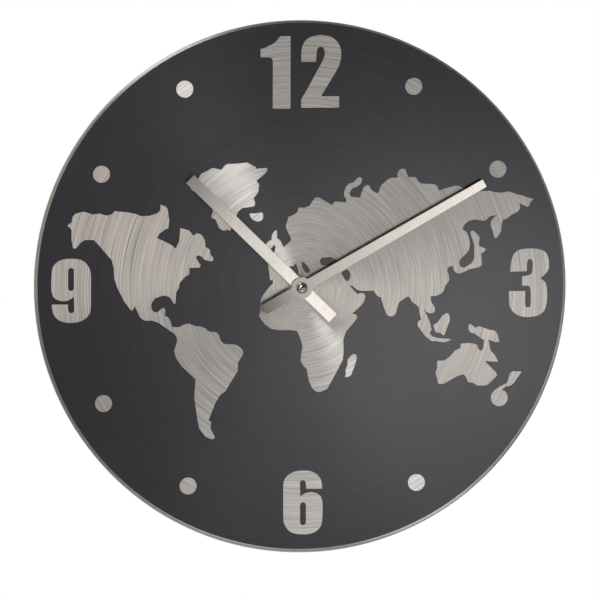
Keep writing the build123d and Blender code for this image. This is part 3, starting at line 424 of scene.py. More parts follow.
@dataclass(frozen=True)
class DialPrint(Finish):
    """Dark satin print through which the ring brushing of the sheet still shows.

    Attributes:
        lacquer: How much of the clear lacquer's gloss shows.
        darkest: The darkest shade as a share of the colour.
        lightest: The lightest shade as a share of the colour.
    """

    lacquer: float = 0.6
    darkest: float = 0.2
    lightest: float = 1.95

    def paint(self, shader: Shader) -> None:
        """Lay faint ring strokes in colour, gloss and height."""
        fine, outward = shader.polar(rings=1400.0, arcs=1.6)
        strokes = shader.noise(fine)
        cloud = shader.noise(shader.place(), scale=14.0, detail=2.0)
        shade = shader.span(shader.blend(strokes, cloud, share=0.7))
        dark, light = scaled(self.colour, self.darkest), scaled(self.colour, self.lightest)
        shader.put("Base Color", shader.tint(shade, dark, light))
        shader.put("Roughness", self.gloss(shader, strokes, swing=(-0.04, 0.05)))
        shader.put("Specular IOR Level", 0.32)
        shader.put("Anisotropic", 0.8)
        shader.comb(outward)
        shader.put("Coat Weight", self.lacquer)
        shader.put("Coat Roughness", 0.06)
        shader.bump(strokes, depth=5e-6, strength=0.4)


@dataclass(frozen=True)
class Metal(Finish):
    """Bare or plated metal with fine brush marks.

    Attributes:
        brushing: The way the marks run.
        turn: For marks along a bar, the bar's angle clockwise from twelve in degrees.
        streak: How far the marks differ in brightness.
        fineness: Marks for each metre across them.
        wear: How far soft patches differ in roughness.
        groove: The marks' depth in metres.
        stretch: How many times longer than wide straight marks are.
    """

    brushing: Brushing = Brushing.ROUND
    turn: float = 0.0
    streak: float = 0.06
    fineness: float = 2500.0
    wear: float = 0.05
    groove: float = 1.2e-6
    stretch: float = 60.0

    def marks(self, shader: Shader) -> bpy.types.NodeSocket:
        """The brush marks as a factor.

        Args:
            shader: The material in work.

        Returns:
            A factor from 0 to 1.
        """
        if self.brushing is Brushing.ROUND:
            where, _ = shader.polar(rings=self.fineness, arcs=4.0)
            return shader.noise(where)
        mapping = shader.add("Mapping")
        shader.feed(shader.place(), mapping.inputs["Vector"])
        across, along = self.fineness, self.fineness / self.stretch
        if self.brushing is Brushing.ALONG:
            mapping.inputs["Rotation"].default_value = (0.0, -radians(self.turn), 0.0)
            mapping.inputs["Scale"].default_value = (across, across, along)
        else:
            mapping.inputs["Scale"].default_value = (across, along, along)
        return shader.noise(mapping.outputs["Vector"])

    def relief(self, shader: Shader, marks: bpy.types.NodeSocket) -> None:
        """Lay the brush marks as grooves."""
        shader.bump(marks, depth=self.groove)

    def paint(self, shader: Shader) -> None:
        """Lay the brush marks and soft patches of wear."""
        marks = self.marks(shader)
        patches = shader.noise(shader.place(), scale=90.0, detail=2.0)
        shader.put("Base Color", shader.tint(shader.span(marks), *self.shades(self.streak)))
        shader.put("Metallic", 1.0)
        shader.put("Roughness", self.gloss(shader, patches, swing=(0.0, self.wear)))
        self.relief(shader, marks)


@dataclass(frozen=True)
class HandMetal(Metal):
    """Brushed metal of a hand that stands a little out of true, as pressed hands do.

    Attributes:
        lean: How far its face leans to the right and up, in radians.
        bowed: The end that bows back.
        flat: Metres from the axis to where the bow starts.
        curve: The bow's turn in radians for each metre.
    """

    lean: Point = (0.0, 0.0)
    bowed: HandEnd = HandEnd.TIP
    flat: float = 0.0
    curve: float = 0.0

    def relief(self, shader: Shader, marks: bpy.types.NodeSocket) -> None:
        """Lean the face and lay the brush marks on it.

        Args:
            shader: The material in work.
            marks: The brush marks.
        """
        slope = shader.vector("DOT_PRODUCT", shader.place(), (-self.lean[0], 0.0, -self.lean[1]))
        turn, end = radians(self.turn), self.bowed.value
        along = shader.vector("DOT_PRODUCT", shader.place(), (end * sin(turn), 0.0, end * cos(turn)))
        past = shader.math("MAXIMUM", shader.math("SUBTRACT", along.outputs["Value"], self.flat), 0.0)
        drop = shader.math("MULTIPLY", shader.math("MULTIPLY", past, past), -self.curve / 2)
        grooves = shader.math("MULTIPLY", marks, self.groove)
        face = shader.math("ADD", slope.outputs["Value"], drop)
        shader.bump(shader.math("ADD", face, grooves), depth=1.0)


@dataclass(frozen=True)
class Moulded(Finish):
    """Moulded plastic, rubber or resin with a fine grain.

    Attributes:
        grain: Grains for each metre.
        depth: The grain's height in metres.
        mottle: How far the colour varies.
        translucency: How much light spreads under the surface.
    """

    grain: float = 2200.0
    depth: float = 1.2e-5
    mottle: float = 0.10
    translucency: float = 0.0

    def paint(self, shader: Shader) -> None:
        """Lay the grain and a slight unevenness of colour."""
        grain = shader.noise(shader.place(), scale=self.grain, detail=2.0)
        cloud = shader.noise(shader.place(), scale=60.0)
        shader.put("Base Color", shader.tint(shader.span(cloud), *self.shades(self.mottle)))
        shader.put("Roughness", self.gloss(shader, grain, swing=(-0.05, 0.08)))
        shader.put("Subsurface Weight", self.translucency)
        shader.put("Subsurface Radius", (0.002, 0.0018, 0.0015))
        shader.bump(grain, depth=self.depth, strength=0.5)


@dataclass(frozen=True)
class WoundWire(Finish):
    """Enamelled wire wound in close turns round an axis along X.

    Attributes:
        turns: Turns that show for each metre of the coil.
        painted_valley_shade: The painted shade between two turns, as a share of the colour.
    """

    turns: float = 565.3722
    painted_valley_shade: float = 0.55

    def paint(self, shader: Shader) -> None:
        """Paint shade between the turns of wire and round them off."""
        wave = shader.add("TexWave", wave_type="BANDS", bands_direction="X", wave_profile="SIN")
        shader.feed(shader.place(), wave.inputs["Vector"])
        wave.inputs["Scale"].default_value = self.turns * 2 * pi / WAVE_STEP
        wave.inputs["Distortion"].default_value = 0.3
        turn = wave.outputs["Fac"]
        # painted shade: the wire is darker between the turns, where shade falls
        shader.put("Base Color", shader.tint(turn, scaled(self.colour, self.painted_valley_shade), self.colour))
        shader.put("Metallic", 0.85)
        shader.put("Coat Weight", 0.4)
        patches = shader.noise(shader.place(), scale=300.0)
        shader.put("Roughness", self.gloss(shader, patches, swing=(-0.06, 0.06)))
        shader.bump(turn, depth=4e-5, strength=0.6)


@dataclass(frozen=True)
class SolderMask(Finish):
    """A circuit board's mask with the copper tracks showing faintly through it.

    Attributes:
        shine: The tracks' brightness as a share of the mask's.
    """

    shine: float = 1.9

    def paint(self, shader: Shader) -> None:
        """Draw straight tracks under the mask."""
        brick = shader.add("TexBrick")
        mapping = shader.add("Mapping")
        shader.feed(shader.place(), mapping.inputs["Vector"])
        mapping.inputs["Rotation"].default_value = (pi / 2, 0.0, 0.0)
        shader.feed(mapping.outputs["Vector"], brick.inputs["Vector"])
        brick.inputs["Scale"].default_value = 320.0
        brick.inputs["Mortar Size"].default_value = 0.06
        for name, colour in (("Color1", BLACK), ("Color2", BLACK), ("Mortar", WHITE)):
            brick.inputs[name].default_value = colour
        track = brick.outputs["Fac"]
        shader.put("Base Color", shader.tint(track, self.colour, scaled(self.colour, self.shine)))
        patches = shader.noise(shader.place(), scale=400.0)
        shader.put("Roughness", self.gloss(shader, patches, swing=(-0.06, 0.06)))
        shader.put("Coat Weight", 0.3)
        shader.bump(track, depth=3e-5, strength=0.5)


BRUSHED_DIAL = TurnedDial("brushed_dial_metal", "brushed_dial", (0.485, 0.461, 0.437), 0.31)
DIAL_INK = DialPrint("dial_print_ink", "dial_ink", (0.0078, 0.0080, 0.0118), 0.42)
HOUR_METAL = HandMetal("hour_hand_metal", "hand_aluminium", (0.55, 0.512, 0.47), 0.20,
                       Brushing.ALONG, turn=314.8, lean=(0.035, 0.02), flat=0.05, curve=1.0)
MINUTE_METAL = HandMetal("minute_hand_metal", "hand_aluminium", (0.57, 0.53, 0.487), 0.20,
                         Brushing.ALONG, turn=60.85, lean=(-0.055, -0.025), bowed=HandEnd.TAIL,
                         flat=0.003, curve=3.0)
# painted shade: the cap's chrome gets a dark colour that stands in for the dark room it mirrors
CAP_CHROME_PAINTED_SHADE = Metal("cap_chrome_painted_shade", "chrome", (0.30, 0.30, 0.31), 0.06, streak=0.02, wear=0.04)
TURNED_BRASS = Metal("turned_brass", "brass", (0.72, 0.55, 0.27), 0.28, streak=0.10)
NICKEL_PLATE = Metal("nickel_plate", "plated_steel", (0.62, 0.62, 0.63), 0.26, streak=0.05, wear=0.10)
CELL_CAN = Metal("cell_steel", "cell_can", (0.60, 0.60, 0.62), 0.34, Brushing.ACROSS)
CELL_FILM = Moulded("cell_film_grey", "cell_can", (0.10, 0.115, 0.125), 0.34, depth=2e-6)
CELL_BAND = Moulded("cell_film_pale", "cell_can", (0.52, 0.53, 0.53), 0.34, depth=2e-6)
SINTERED_MAGNET = Metal("sintered_magnet", "magnet", (0.11, 0.11, 0.12), 0.50, streak=0.15, wear=0.12)
GASKET_RUBBER = Moulded("gasket_rubber", "rubber", (0.03, 0.03, 0.03), 0.72, grain=1500.0)
GEAR_ACETAL = Moulded("gear_acetal", "gear_plastic", (0.82, 0.80, 0.74), 0.40, grain=3000.0, depth=5e-6,
                      mottle=0.03, translucency=0.25)
PLATE_MOULDING = Moulded("plate_moulding", "plate_plastic", (0.16, 0.16, 0.17), 0.48)
CASE_MOULDING = Moulded("case_moulding", "case_plastic", (0.035, 0.035, 0.038), 0.52)
CHIP_RESIN = Moulded("chip_resin", "chip", (0.02, 0.02, 0.02), 0.45, grain=4000.0)
COIL_WIRE = WoundWire("coil_wire", "copper", (0.66, 0.31, 0.16), 0.30)
BOARD_MASK = SolderMask("board_mask", "board", (0.05, 0.22, 0.10), 0.34)


def dress(finish: Finish, *nodes: str) -> None:
    """Give CAD nodes their finish.

    Args:
        finish: The finish.
        *nodes: The nodes' names.
    """
    for node in nodes:
        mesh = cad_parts[node].data
        mesh.materials.clear()
        mesh.materials.append(finish.material())
        LOG.info("dressed %s in %s", node, finish.name)


def carry(piece: bpy.types.Object, body: Body, finish: Finish) -> None:
    """Set a new piece on a body and give it its finish.

    Args:
        piece: The piece, already in place.
        body: The body it moves with.
        finish: The finish.
    """
    piece.data.materials.append(finish.material())
    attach(piece, body.value)
    LOG.info("built %s on %s", piece.name, body.value)


def add_object(name: str, data: bpy.types.ID) -> bpy.types.Object:
    """Add an object to the scene.

    Args:
        name: The object's name.
        data: Its mesh, curve, light or camera.

    Returns:
        The object.
    """
    added = bpy.data.objects.new(name, data)
    bpy.context.scene.collection.objects.link(added)
    return added


def raised_plate(
    name: str, loops: Iterable[Sequence[Point]], middle: float, height: float
) -> bpy.types.Object:
    """Make a thin plate that lies square to the dial's axis.

    Args:
        name: The piece's name.
        loops: Closed outlines in metres to the right and up, holes among them.
        middle: The depth of the plate's middle.
        height: Its thickness.

    Returns:
        The piece.
    """
    curve = bpy.data.curves.new(name, "CURVE")
    curve.dimensions = "2D"
    curve.fill_mode = "BOTH"
    curve.extrude = height / 2
    for points in loops:
        spline = curve.splines.new("POLY")
        spline.points.add(len(points) - 1)
        for knot, (x, z) in zip(spline.points, points):
            knot.co = (x, z, 0.0, 1.0)
        spline.use_cyclic_u = True
    sketch = add_object(name + "_sketch", curve)
    evaluated = sketch.evaluated_get(bpy.context.evaluated_depsgraph_get())
    mesh = bpy.data.meshes.new_from_object(evaluated)
    bpy.data.objects.remove(sketch)
    bpy.data.curves.remove(curve)
    mesh.transform(Matrix.Translation((0.0, middle, 0.0)) @ Matrix.Rotation(pi / 2, 4, "X"))
    mesh.name = name
    return add_object(name, mesh)


def add_shape(name: str, shape: bmesh.types.BMesh) -> bpy.types.Object:
    """Make a finished shape an object of the scene.

    Args:
        name: The object's name.
        shape: The shape, which is used up.

    Returns:
        The object.
    """
    mesh = bpy.data.meshes.new(name)
    shape.to_mesh(mesh)
    shape.free()
    return add_object(name, mesh)


def turned_ring(
    name: str, profile: Sequence[Point], centre: Vector, steps: int = 64
) -> bpy.types.Object:
    """Turn a closed profile round a line that runs from left to right.

    Args:
        name: The piece's name.
        profile: Points to the right and outward, in metres.
        centre: A point on the line.
        steps: Points round the line.

    Returns:
        The piece.
    """
    shape = bmesh.new()
    rows = []
    for step in range(steps):
        angle = 2 * pi * step / steps
        c, s = cos(angle), sin(angle)
        rows.append([shape.verts.new((x, centre.y + r * c, centre.z + r * s)) for x, r in profile])
    for row, after in zip(rows, rows[1:] + rows[:1]):
        for here in range(len(profile)):
            there = (here + 1) % len(profile)
            shape.faces.new((row[here], row[there], after[there], after[here]))
    bmesh.ops.recalc_face_normals(shape, faces=shape.faces)
    piece = add_shape(name, shape)
    piece.data.shade_smooth()
    piece.data.set_sharp_from_angle(angle=radians(40.0))
    return piece


def smooth_run(start: Point, run: Run, steps: int = 6) -> list[Point]:
    """Points along a smooth run.

    Args:
        start: The point where the run begins.
        run: The points it passes, the last one its end.
        steps: Points for each stretch between two of them.

    Returns:
        The points after the start.
    """
    knots = [Vector(point) for point in (start, *run)]
    if len(knots) == 2:
        return [run[0]]
    padded = [2 * knots[0] - knots[1], *knots, 2 * knots[-1] - knots[-2]]
    points: list[Point] = []
    for a, b, c, d in zip(padded, padded[1:], padded[2:], padded[3:]):
        for step in range(1, steps + 1):
            t = step / steps
            # a Catmull-Rom stretch from b to c
            point = 0.5 * (2 * b + (c - a) * t + (2 * a - 5 * b + 4 * c - d) * t * t
                           + (3 * b - a - 3 * c + d) * t ** 3)
            points.append((point.x, point.y))
    return points


@dataclass
class DialFigure:
    """One bare-metal figure of the dial.

    Attributes:
        name: The piece's name.
        outline: Runs in millimetres from the dial's middle; each run is smooth and ends in a corner.
        holes: Further closed outlines inside the first.
        shift: Twice the point about which the outline is turned half round, if it is.
    """

    name: str
    outline: tuple[Run, ...]
    holes: tuple[tuple[Run, ...], ...] = ()
    shift: Optional[Point] = None

    def loop(self, runs: Sequence[Run], rise: float) -> list[Point]:
        """A closed outline on the dial, set square to it.

        Args:
            runs: The outline's runs.
            rise: How far the print lies above the hands' axis.

        Returns:
            Its points in metres.
        """
        points: list[Point] = []
        last = runs[-1][-1]
        for run in runs:
            points += smooth_run(last, run)
            last = run[-1]
        if self.shift:
            points = [(self.shift[0] - x, self.shift[1] - z) for x, z in points]
        c, s = cos(PRINT_TURN), sin(PRINT_TURN)
        unit = PRINT_SPREAD * MM
        return [((c * x - s * z) * unit, (s * x + c * z) * unit + rise) for x, z in points]

    def build(self, back: float, rise: float, height: float) -> bpy.types.Object:
        """Make the figure as a thin raised plate.

        Args:
            back: The depth of the face it lies on.
            rise: How far the print lies above the hands' axis.
            height: How far it stands proud.

        Returns:
            The piece.
        """
        loops = [self.loop(runs, rise) for runs in (self.outline, *self.holes)]
        return raised_plate(self.name, loops, back - height / 2, height)


SIX: tuple[Run, ...] = (
    ((12.3, -114.1),),
    ((12.0, -111.5), (11.2, -108.4), (8.6, -105.5), (4.8, -104.0), (1.1, -103.8), (-2.9, -104.3),
     (-6.4, -105.9), (-8.7, -108.4), (-9.6, -111.5), (-9.7, -120.2), (-9.6, -131.2), (-8.7, -134.6),
     (-6.4, -137.8), (-2.9, -139.4), (1.1, -139.8), (5.1, -139.5), (8.9, -138.1), (11.5, -135.2),
     (12.3, -131.2), (12.5, -123.1), (12.0, -119.9), (10.6, -117.6), (7.7, -116.2), (4.8, -116.0),
     (2.0, -116.9), (-0.1, -118.5)),
    ((-0.3, -111.0), (0.2, -109.7), (1.4, -109.2), (2.7, -110.0), (3.1, -111.5), (3.2, -114.1)),
)
SIX_EYE: tuple[Run, ...] = (
    ((-0.2, -123.5), (0.3, -122.2), (1.45, -121.7), (2.6, -122.2), (3.1, -123.5), (3.1, -128.0),
     (3.1, -132.8), (2.6, -134.1), (1.45, -134.6), (0.3, -134.1), (-0.2, -132.8), (-0.2, -128.0)),
)
FIGURES: tuple[DialFigure, ...] = (
    DialFigure("figure_one", (
        ((-6.1, 99.8),),
        ((-6.1, 140.5),),
        ((-11.8, 140.5),),
        ((-15.1, 136.8), (-20.1, 134.2), (-22.9, 133.4)),
        ((-22.9, 128.7),),
        ((-18.4, 128.6), (-16.6, 128.0), (-16.0, 126.3)),
        ((-16.0, 99.8),),
    )),
    DialFigure("figure_two", (
        ((0.0, 100.3),),
        ((21.3, 100.4),),
        ((21.3, 106.7),),
        ((11.1, 106.7),),
        ((16.3, 115.2), (19.8, 121.1), (21.5, 124.9), (22.4, 129.4), (22.0, 133.9), (20.1, 137.4),
         (16.6, 140.0), (12.5, 141.0), (9.4, 140.9), (5.2, 140.0), (2.1, 137.7), (0.7, 134.9),
         (0.0, 131.8), (0.0, 126.1)),
        ((8.3, 126.1),),
        ((8.5, 129.4), (9.0, 133.2), (10.7, 134.6), (12.5, 133.7), (13.2, 131.1), (12.8, 128.7),
         (11.1, 124.9), (7.6, 118.6), (3.5, 111.0), (0.0, 105.1)),
    )),
    DialFigure("figure_three", (
        ((118.1, 7.7),),
        ((118.5, 12.8), (120.1, 17.5), (122.9, 19.9), (126.8, 20.6), (130.6, 20.7), (134.5, 20.3),
         (138.0, 18.6), (139.6, 15.7), (140.0, 11.5), (139.6, 8.7), (137.4, 5.8), (135.1, 4.0)),
        ((137.7, 1.9), (138.7, -0.6), (139.0, -5.4), (138.7, -10.3), (137.1, -14.7), (133.8, -17.0),
         (129.4, -17.8), (124.9, -17.6), (121.0, -15.9), (118.5, -13.1), (117.6, -9.9), (117.5, -3.2)),
        ((126.6, -3.2),),
        ((126.7, -11.2), (128.2, -12.4), (129.7, -11.2), (129.7, -3.8), (129.2, -1.1), (128.1, -0.2),
         (124.9, -0.2)),
        ((124.9, 5.0),),
        ((128.7, 5.8), (130.3, 7.1), (130.7, 9.9), (130.7, 13.5), (129.4, 14.7), (127.9, 13.8),
         (127.4, 8.0)),
    )),
    DialFigure("figure_six", SIX, (SIX_EYE,)),
    DialFigure("figure_nine", SIX, (SIX_EYE,), shift=(-127.8, -123.8)),
)


@dataclass
class Dial:
    """The spun dial with its print and bare-metal figures.

    Attributes:
        figure_height: How far the figures stand proud of the print.
        figures: The figures.
    """

    figure_height: float = 0.06 * MM
    figures: tuple[DialFigure, ...] = FIGURES

    def build(self) -> None:
        """Dress the sheet and the print and lay the figures on the print."""
        dress(BRUSHED_DIAL, "dial_plate")
        dress(DIAL_INK, "dial_print")
        low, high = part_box("dial_print")
        rise = (low[2] + high[2]) / 2
        for figure in self.figures:
            carry(figure.build(low[1], rise, self.figure_height), Body.CLOCK, BRUSHED_DIAL)


@dataclass
class Hands:
    """The two bar hands and what holds them."""

    def build(self) -> None:
        """Dress the hands, the collet and the cap nut."""
        dress(HOUR_METAL, "hour_hand")
        dress(MINUTE_METAL, "minute_hand")
        dress(TURNED_BRASS, "hour_collet")
        dress(CAP_CHROME_PAINTED_SHADE, "cap_nut")


@dataclass
class CentreFixing:
    """What clamps the dial to the movement, and the minute arbor that runs through it."""

    def build(self) -> None:
        """Dress the fixing and the arbor with its spring."""
        dress(TURNED_BRASS, "fixing_nut", "centre_bush", "minute_arbor")
        dress(NICKEL_PLATE, "fixing_washer", "clutch_spring")
        dress(GASKET_RUBBER, "dial_gasket")


@dataclass
class Movement:
    """The wheels, plates, motor and circuit inside the case.

    Attributes:
        wheels: The moulded wheels and pinions.
    """

    wheels: tuple[str, ...] = (
        "hour_wheel", "minute_work_wheel", "setting_pinion", "centre_wheel", "third_wheel",
        "seconds_wheel", "intermediate_wheel", "rotor_pinion",
    )

    def build(self) -> None:
        """Dress the works."""
        dress(GEAR_ACETAL, *self.wheels)
        dress(PLATE_MOULDING, "middle_plate", "train_bridge", "coil_bobbin")
        dress(NICKEL_PLATE, "stator_plate", "coil_core", "quartz_can")
        dress(SINTERED_MAGNET, "rotor_magnet")
        dress(COIL_WIRE, "coil_winding")
        dress(BOARD_MASK, "circuit_board")
        dress(CHIP_RESIN, "driver_chip")


@dataclass
class CellWrap:
    """The plain film round the cell's can, with a paler band at the plus end.

    Attributes:
        film: The film's thickness.
        bare: How much of the can shows at each end.
        nub: The length of the plus end's nub.
        band: The pale band's length.
        seam: The gap between the band and the rest.
        slack: The room between the film and the can.
        roll: How far the film's edges are drawn in.
    """

    film: float = 0.10 * MM
    bare: float = 0.7 * MM
    nub: float = 1.1 * MM
    band: float = 11.0 * MM
    seam: float = 0.25 * MM
    slack: float = 0.01 * MM
    roll: float = 0.3 * MM

    def build(self) -> None:
        """Dress the can and wrap it."""
        dress(CELL_CAN, "battery_cell")
        low, high = (Vector(corner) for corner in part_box("battery_cell"))
        middle, radius = (low + high) / 2, (high.z - low.z) / 2
        end = high.x - self.nub - self.bare
        joint = end - self.band
        film = self.tube("cell_film", low.x + self.bare, joint - self.seam, radius, middle)
        carry(film, Body.CELL, CELL_FILM)
        carry(self.tube("cell_band", joint, end, radius, middle), Body.CELL, CELL_BAND)

    def tube(
        self, name: str, left: float, right: float, radius: float, middle: Vector
    ) -> bpy.types.Object:
        """One length of film with its edges shrunk on to the can.

        Args:
            name: The piece's name.
            left: Its left end.
            right: Its right end.
            radius: The can's radius.
            middle: A point on the can's line.

        Returns:
            The piece.
        """
        inner, outer = radius + self.slack, radius + self.film
        lip, shoulder = self.roll / 3, inner + self.film / 2
        profile = (
            (left, inner), (left + lip, shoulder), (left + self.roll, outer),
            (right - self.roll, outer), (right - lip, shoulder), (right, inner),
        )
        return turned_ring(name, profile, middle)


@dataclass
class Case:
    """The movement's case with the knob, the cell, its contacts and the marks in its bay.

    Attributes:
        wall: The thickness of the case's front wall.
        mark_reach: How far the bay's marks stand from its middle.
        mark_size: The marks' size.
        mark_stroke: The width of their strokes.
        mark_height: How far they stand up from the bay's floor.
        mark_steps: The steps round each end of the minus.
    """

    wall: float = 1.2 * MM
    mark_reach: float = 17.0 * MM
    mark_size: float = 5.0 * MM
    mark_stroke: float = 1.1 * MM
    mark_height: float = 0.18 * MM
    mark_steps: int = 8

    def build(self) -> None:
        """Dress the case and what it holds."""
        dress(CASE_MOULDING, "case_front", "case_back", "setting_knob")
        CellWrap().build()
        dress(NICKEL_PLATE, "contact_plus", "contact_minus")
        self.mark_bay()

    def mark_bay(self) -> None:
        """Mould a plus and a minus on the floor of the cell's bay."""
        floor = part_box("case_front")[0][1] + self.wall
        low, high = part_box("battery_cell")
        level = (low[2] + high[2]) / 2
        long, thin = self.mark_size / 2, self.mark_stroke / 2
        cross = (
            (thin, long), (thin, thin), (long, thin), (long, -thin), (thin, -thin), (thin, -long),
            (-thin, -long), (-thin, -thin), (-long, -thin), (-long, thin), (-thin, thin), (-thin, long),
        )
        turns = [step * pi / self.mark_steps for step in range(self.mark_steps + 1)]
        bar = [(side * (long - thin) + thin * sin(side * turn), side * thin * cos(side * turn))
               for side in (1, -1) for turn in turns]
        marks = (("bay_plus", cross, self.mark_reach), ("bay_minus", bar, -self.mark_reach))
        for name, outline, x in marks:
            loop = [(x + dx, level + dz) for dx, dz in outline]
            piece = raised_plate(name, (loop,), floor + self.mark_height / 2, self.mark_height)
            carry(piece, Body.CLOCK, CASE_MOULDING)


def bearing(azimuth: float, elevation: float) -> Vector:
    """The direction from the dial outward.

    Args:
        azimuth: Degrees to the right of the dial's front.
        elevation: Degrees up.

    Returns:
        A unit vector.
    """
    a, e = radians(azimuth), radians(elevation)
    return Vector((sin(a) * cos(e), -cos(a) * cos(e), sin(e)))


@dataclass(frozen=True)
class Light:
    """A square light that faces the dial.

    Attributes:
        name: The light's name.
        azimuth: Degrees to the right of the dial's front.
        elevation: Degrees above the dial's middle.
        distance: Metres from the dial.
        side: Its side in metres.
    """

    name: str
    azimuth: float
    elevation: float
    distance: float
    side: float

    def hang(self, light: bpy.types.Object) -> None:
        """Turn the light to the dial, unseen by the camera.

        Args:
            light: The light's object.
        """
        way = bearing(self.azimuth, self.elevation)
        light.location = way * self.distance
        light.rotation_euler = way.to_track_quat("Z", "Y").to_euler()
        light.visible_camera = False


@dataclass(frozen=True)
class Lamp(Light):
    """A soft lamp.

    Attributes:
        power: Watts.
        tint: The light's colour.
    """

    power: float
    tint: Colour = (1.0, 1.0, 1.0)

    def build(self) -> None:
        """Hang the lamp."""
        light = bpy.data.lights.new(self.name, "AREA")
        light.size = self.side
        light.energy = self.power
        light.color = self.tint
        self.hang(add_object(self.name, light))


@dataclass(frozen=True)
class SoftPanel(Light):
    """A clear panel in front of the dial with a soft bright spot, seen only as a reflection.

    Attributes:
        spot: The spot's place right of and above the panel's middle, in metres.
        spread: The spot's reach sideways and upward in metres.
        level: The spot's brightness.
    """

    spot: Point
    spread: Point
    level: float

    def build(self) -> None:
        """Hang the panel."""
        shape = bmesh.new()
        bmesh.ops.create_grid(shape, x_segments=1, y_segments=1, size=self.side / 2)
        panel = add_shape(self.name, shape)
        self.hang(panel)
        panel.visible_shadow = False
        panel.data.materials.append(self.glow())

    def glow(self) -> bpy.types.Material:
        """The panel's light, strongest in the spot.

        Returns:
            The material.
        """
        shader = Shader(self.name + "_glow")
        offset = shader.vector("SUBTRACT", shader.place(), (*self.spot, 0.0)).outputs[0]
        away = shader.vector("DIVIDE", offset, (*self.spread, 1.0)).outputs[0]
        fall = shader.vector("DOT_PRODUCT", away, away).outputs["Value"]
        light = shader.add("Emission")
        strength = shader.math("EXPONENT", shader.math("MULTIPLY", fall, -1.0))
        shader.feed(shader.math("MULTIPLY", strength, self.level), light.inputs["Strength"])
        clear = shader.add("BsdfTransparent")
        both = shader.add("AddShader")
        shader.feed(light.outputs[0], both.inputs[0])
        shader.feed(clear.outputs[0], both.inputs[1])
        shader.feed(both.outputs[0], shader.tree.nodes["Material Output"].inputs["Surface"])
        return shader.material


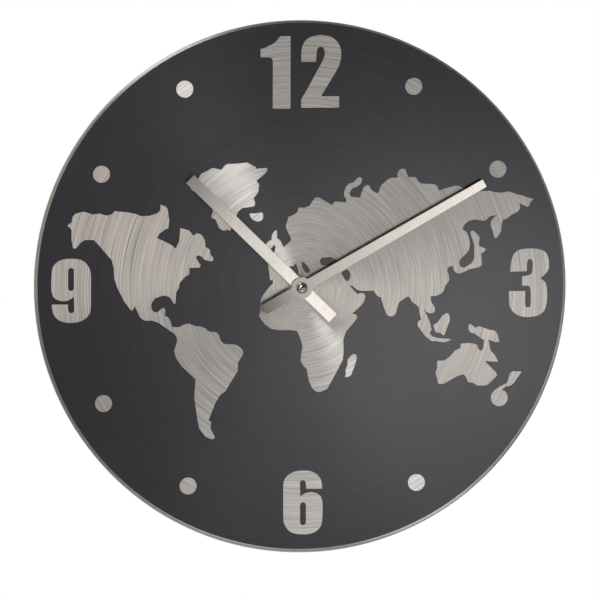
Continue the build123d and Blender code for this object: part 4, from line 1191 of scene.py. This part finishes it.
@dataclass
class Studio:
    """White surroundings, soft lamps, a pale floor and the camera.

    Attributes:
        azimuth: The camera's bearing in degrees.
        elevation: The camera's height in degrees.
        distance: Metres from the dial.
        width: The width of the picture at the dial in metres.
        aim: The point in the middle of the picture.
        roll: The camera's roll in degrees.
        lamps: The lamps.
        panel: The soft panel in front of the dial.
        ambient: The level of the surroundings' diffuse light.
        dim: The level of the mirrored surroundings in front of the dial.
        dim_edge: Where they pass from that level to white, as the direction's part along the axis.
        floor_level: The floor's height.
        floor_reach: The floor's radius.
        floor_fade: Where the floor starts and ends to fade, as shares of its radius.
        floor_tones: The floor's darkest and lightest grey.
    """

    azimuth: float = -5.0
    elevation: float = 4.2
    distance: float = 6.0
    width: float = 0.33765
    aim: tuple[float, float, float] = (-0.00055, -0.0184, -0.00725)
    roll: float = -0.43
    # name, azimuth, elevation, distance, side, power and tint
    lamps: tuple[Lamp, ...] = (
        Lamp("key_lamp", -30.0, 44.0, 1.8, 0.6, 15.5),
        Lamp("left_lamp", -50.0, 12.0, 1.2, 0.9, 3.8, (1.0, 0.84, 0.74)),
        Lamp("right_lamp", 60.0, -10.0, 0.9, 0.7, 1.0, (1.0, 0.9, 0.8)),
        Lamp("low_lamp", 0.0, -50.0, 0.4, 0.3, 0.22),
    )
    panel: SoftPanel = SoftPanel(
        "soft_panel", 5.0, -4.2, 0.8, 1.2, spot=(0.10, -0.025), spread=(0.15, 0.125), level=2.85
    )
    ambient: float = 0.45
    dim: float = 0.15
    dim_edge: Point = (-0.2, 0.3)
    floor_level: float = -0.45
    floor_reach: float = 2.4
    floor_fade: Point = (0.2, 0.5)
    floor_tones: Point = (0.84, 0.88)

    def build(self) -> None:
        """Set up the world, the floor, the lamps and the camera."""
        self.surround()
        self.lay_floor()
        for lamp in (*self.lamps, self.panel):
            lamp.build()
        self.place_camera()
        bpy.context.scene.view_settings.view_transform = "Standard"

    def surround(self) -> None:
        """Make the world white where it is seen and softer where it lights."""
        world = bpy.data.worlds.new("white_room")
        world.use_nodes = True
        wiring = Wiring(world.node_tree)
        paths = wiring.add("LightPath").outputs
        split = wiring.add("SeparateXYZ")
        wiring.feed(wiring.add("TexCoord").outputs["Generated"], split.inputs[0])
        room = wiring.between(split.outputs["Y"], self.dim_edge, (self.dim, 1.0))
        mirrored = wiring.math("MULTIPLY", paths["Is Glossy Ray"], room)
        clear = wiring.math("MAXIMUM", paths["Is Camera Ray"], paths["Is Transmission Ray"])
        seen = wiring.math("MAXIMUM", clear, mirrored)
        background = world.node_tree.nodes["Background"]
        background.inputs["Color"].default_value = WHITE
        lit = wiring.math("MULTIPLY", paths["Is Diffuse Ray"], self.ambient)
        wiring.feed(wiring.math("MAXIMUM", seen, lit), background.inputs["Strength"])
        bpy.context.scene.world = world

    def lay_floor(self) -> None:
        """Lay a round pale floor whose edge fades into the white surroundings."""
        shape = bmesh.new()
        bmesh.ops.create_circle(shape, cap_ends=True, radius=self.floor_reach, segments=96)
        floor = add_shape("floor", shape)
        floor.location.z = self.floor_level
        shader = Shader("floor_paint")
        dark, light = ((tone, tone, tone) for tone in self.floor_tones)
        shade = shader.noise(shader.place(), scale=3.0)
        shader.put("Base Color", shader.tint(shade, dark, light))
        shader.put("Roughness", 0.8)
        reach = shader.vector("LENGTH", shader.place()).outputs["Value"]
        start, end = (self.floor_reach * share for share in self.floor_fade)
        fade = shader.between(reach, (start, end), (0.0, 1.0))
        clear = shader.add("BsdfTransparent")
        mix = shader.add("MixShader")
        shader.feed(fade, mix.inputs[0])
        shader.feed(shader.surface.outputs[0], mix.inputs[1])
        shader.feed(clear.outputs[0], mix.inputs[2])
        shader.feed(mix.outputs[0], shader.tree.nodes["Material Output"].inputs["Surface"])
        floor.data.materials.append(shader.material)

    def place_camera(self) -> None:
        """Stand the camera at the picture's viewing angle."""
        lens = bpy.data.cameras.new("camera")
        lens.sensor_width = 36.0
        lens.lens = lens.sensor_width * self.distance / self.width
        lens.clip_start = 0.01
        camera = add_object("camera", lens)
        way = bearing(self.azimuth, self.elevation)
        camera.location = Vector(self.aim) + way * self.distance
        camera.rotation_mode = "QUATERNION"
        roll = Quaternion((0.0, 0.0, 1.0), radians(self.roll))
        camera.rotation_quaternion = way.to_track_quat("Z", "Y") @ roll
        bpy.context.scene.camera = camera


def main() -> None:
    """Build every sub-assembly in order and log each one."""
    logging.basicConfig(level=logging.INFO, format="%(name)s: %(message)s")
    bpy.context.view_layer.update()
    for part in (Dial(), Hands(), CentreFixing(), Movement(), Case(), Studio()):
        part.build()
        LOG.info("finished %s", type(part).__name__)


if __name__ == "__main__":
    main()
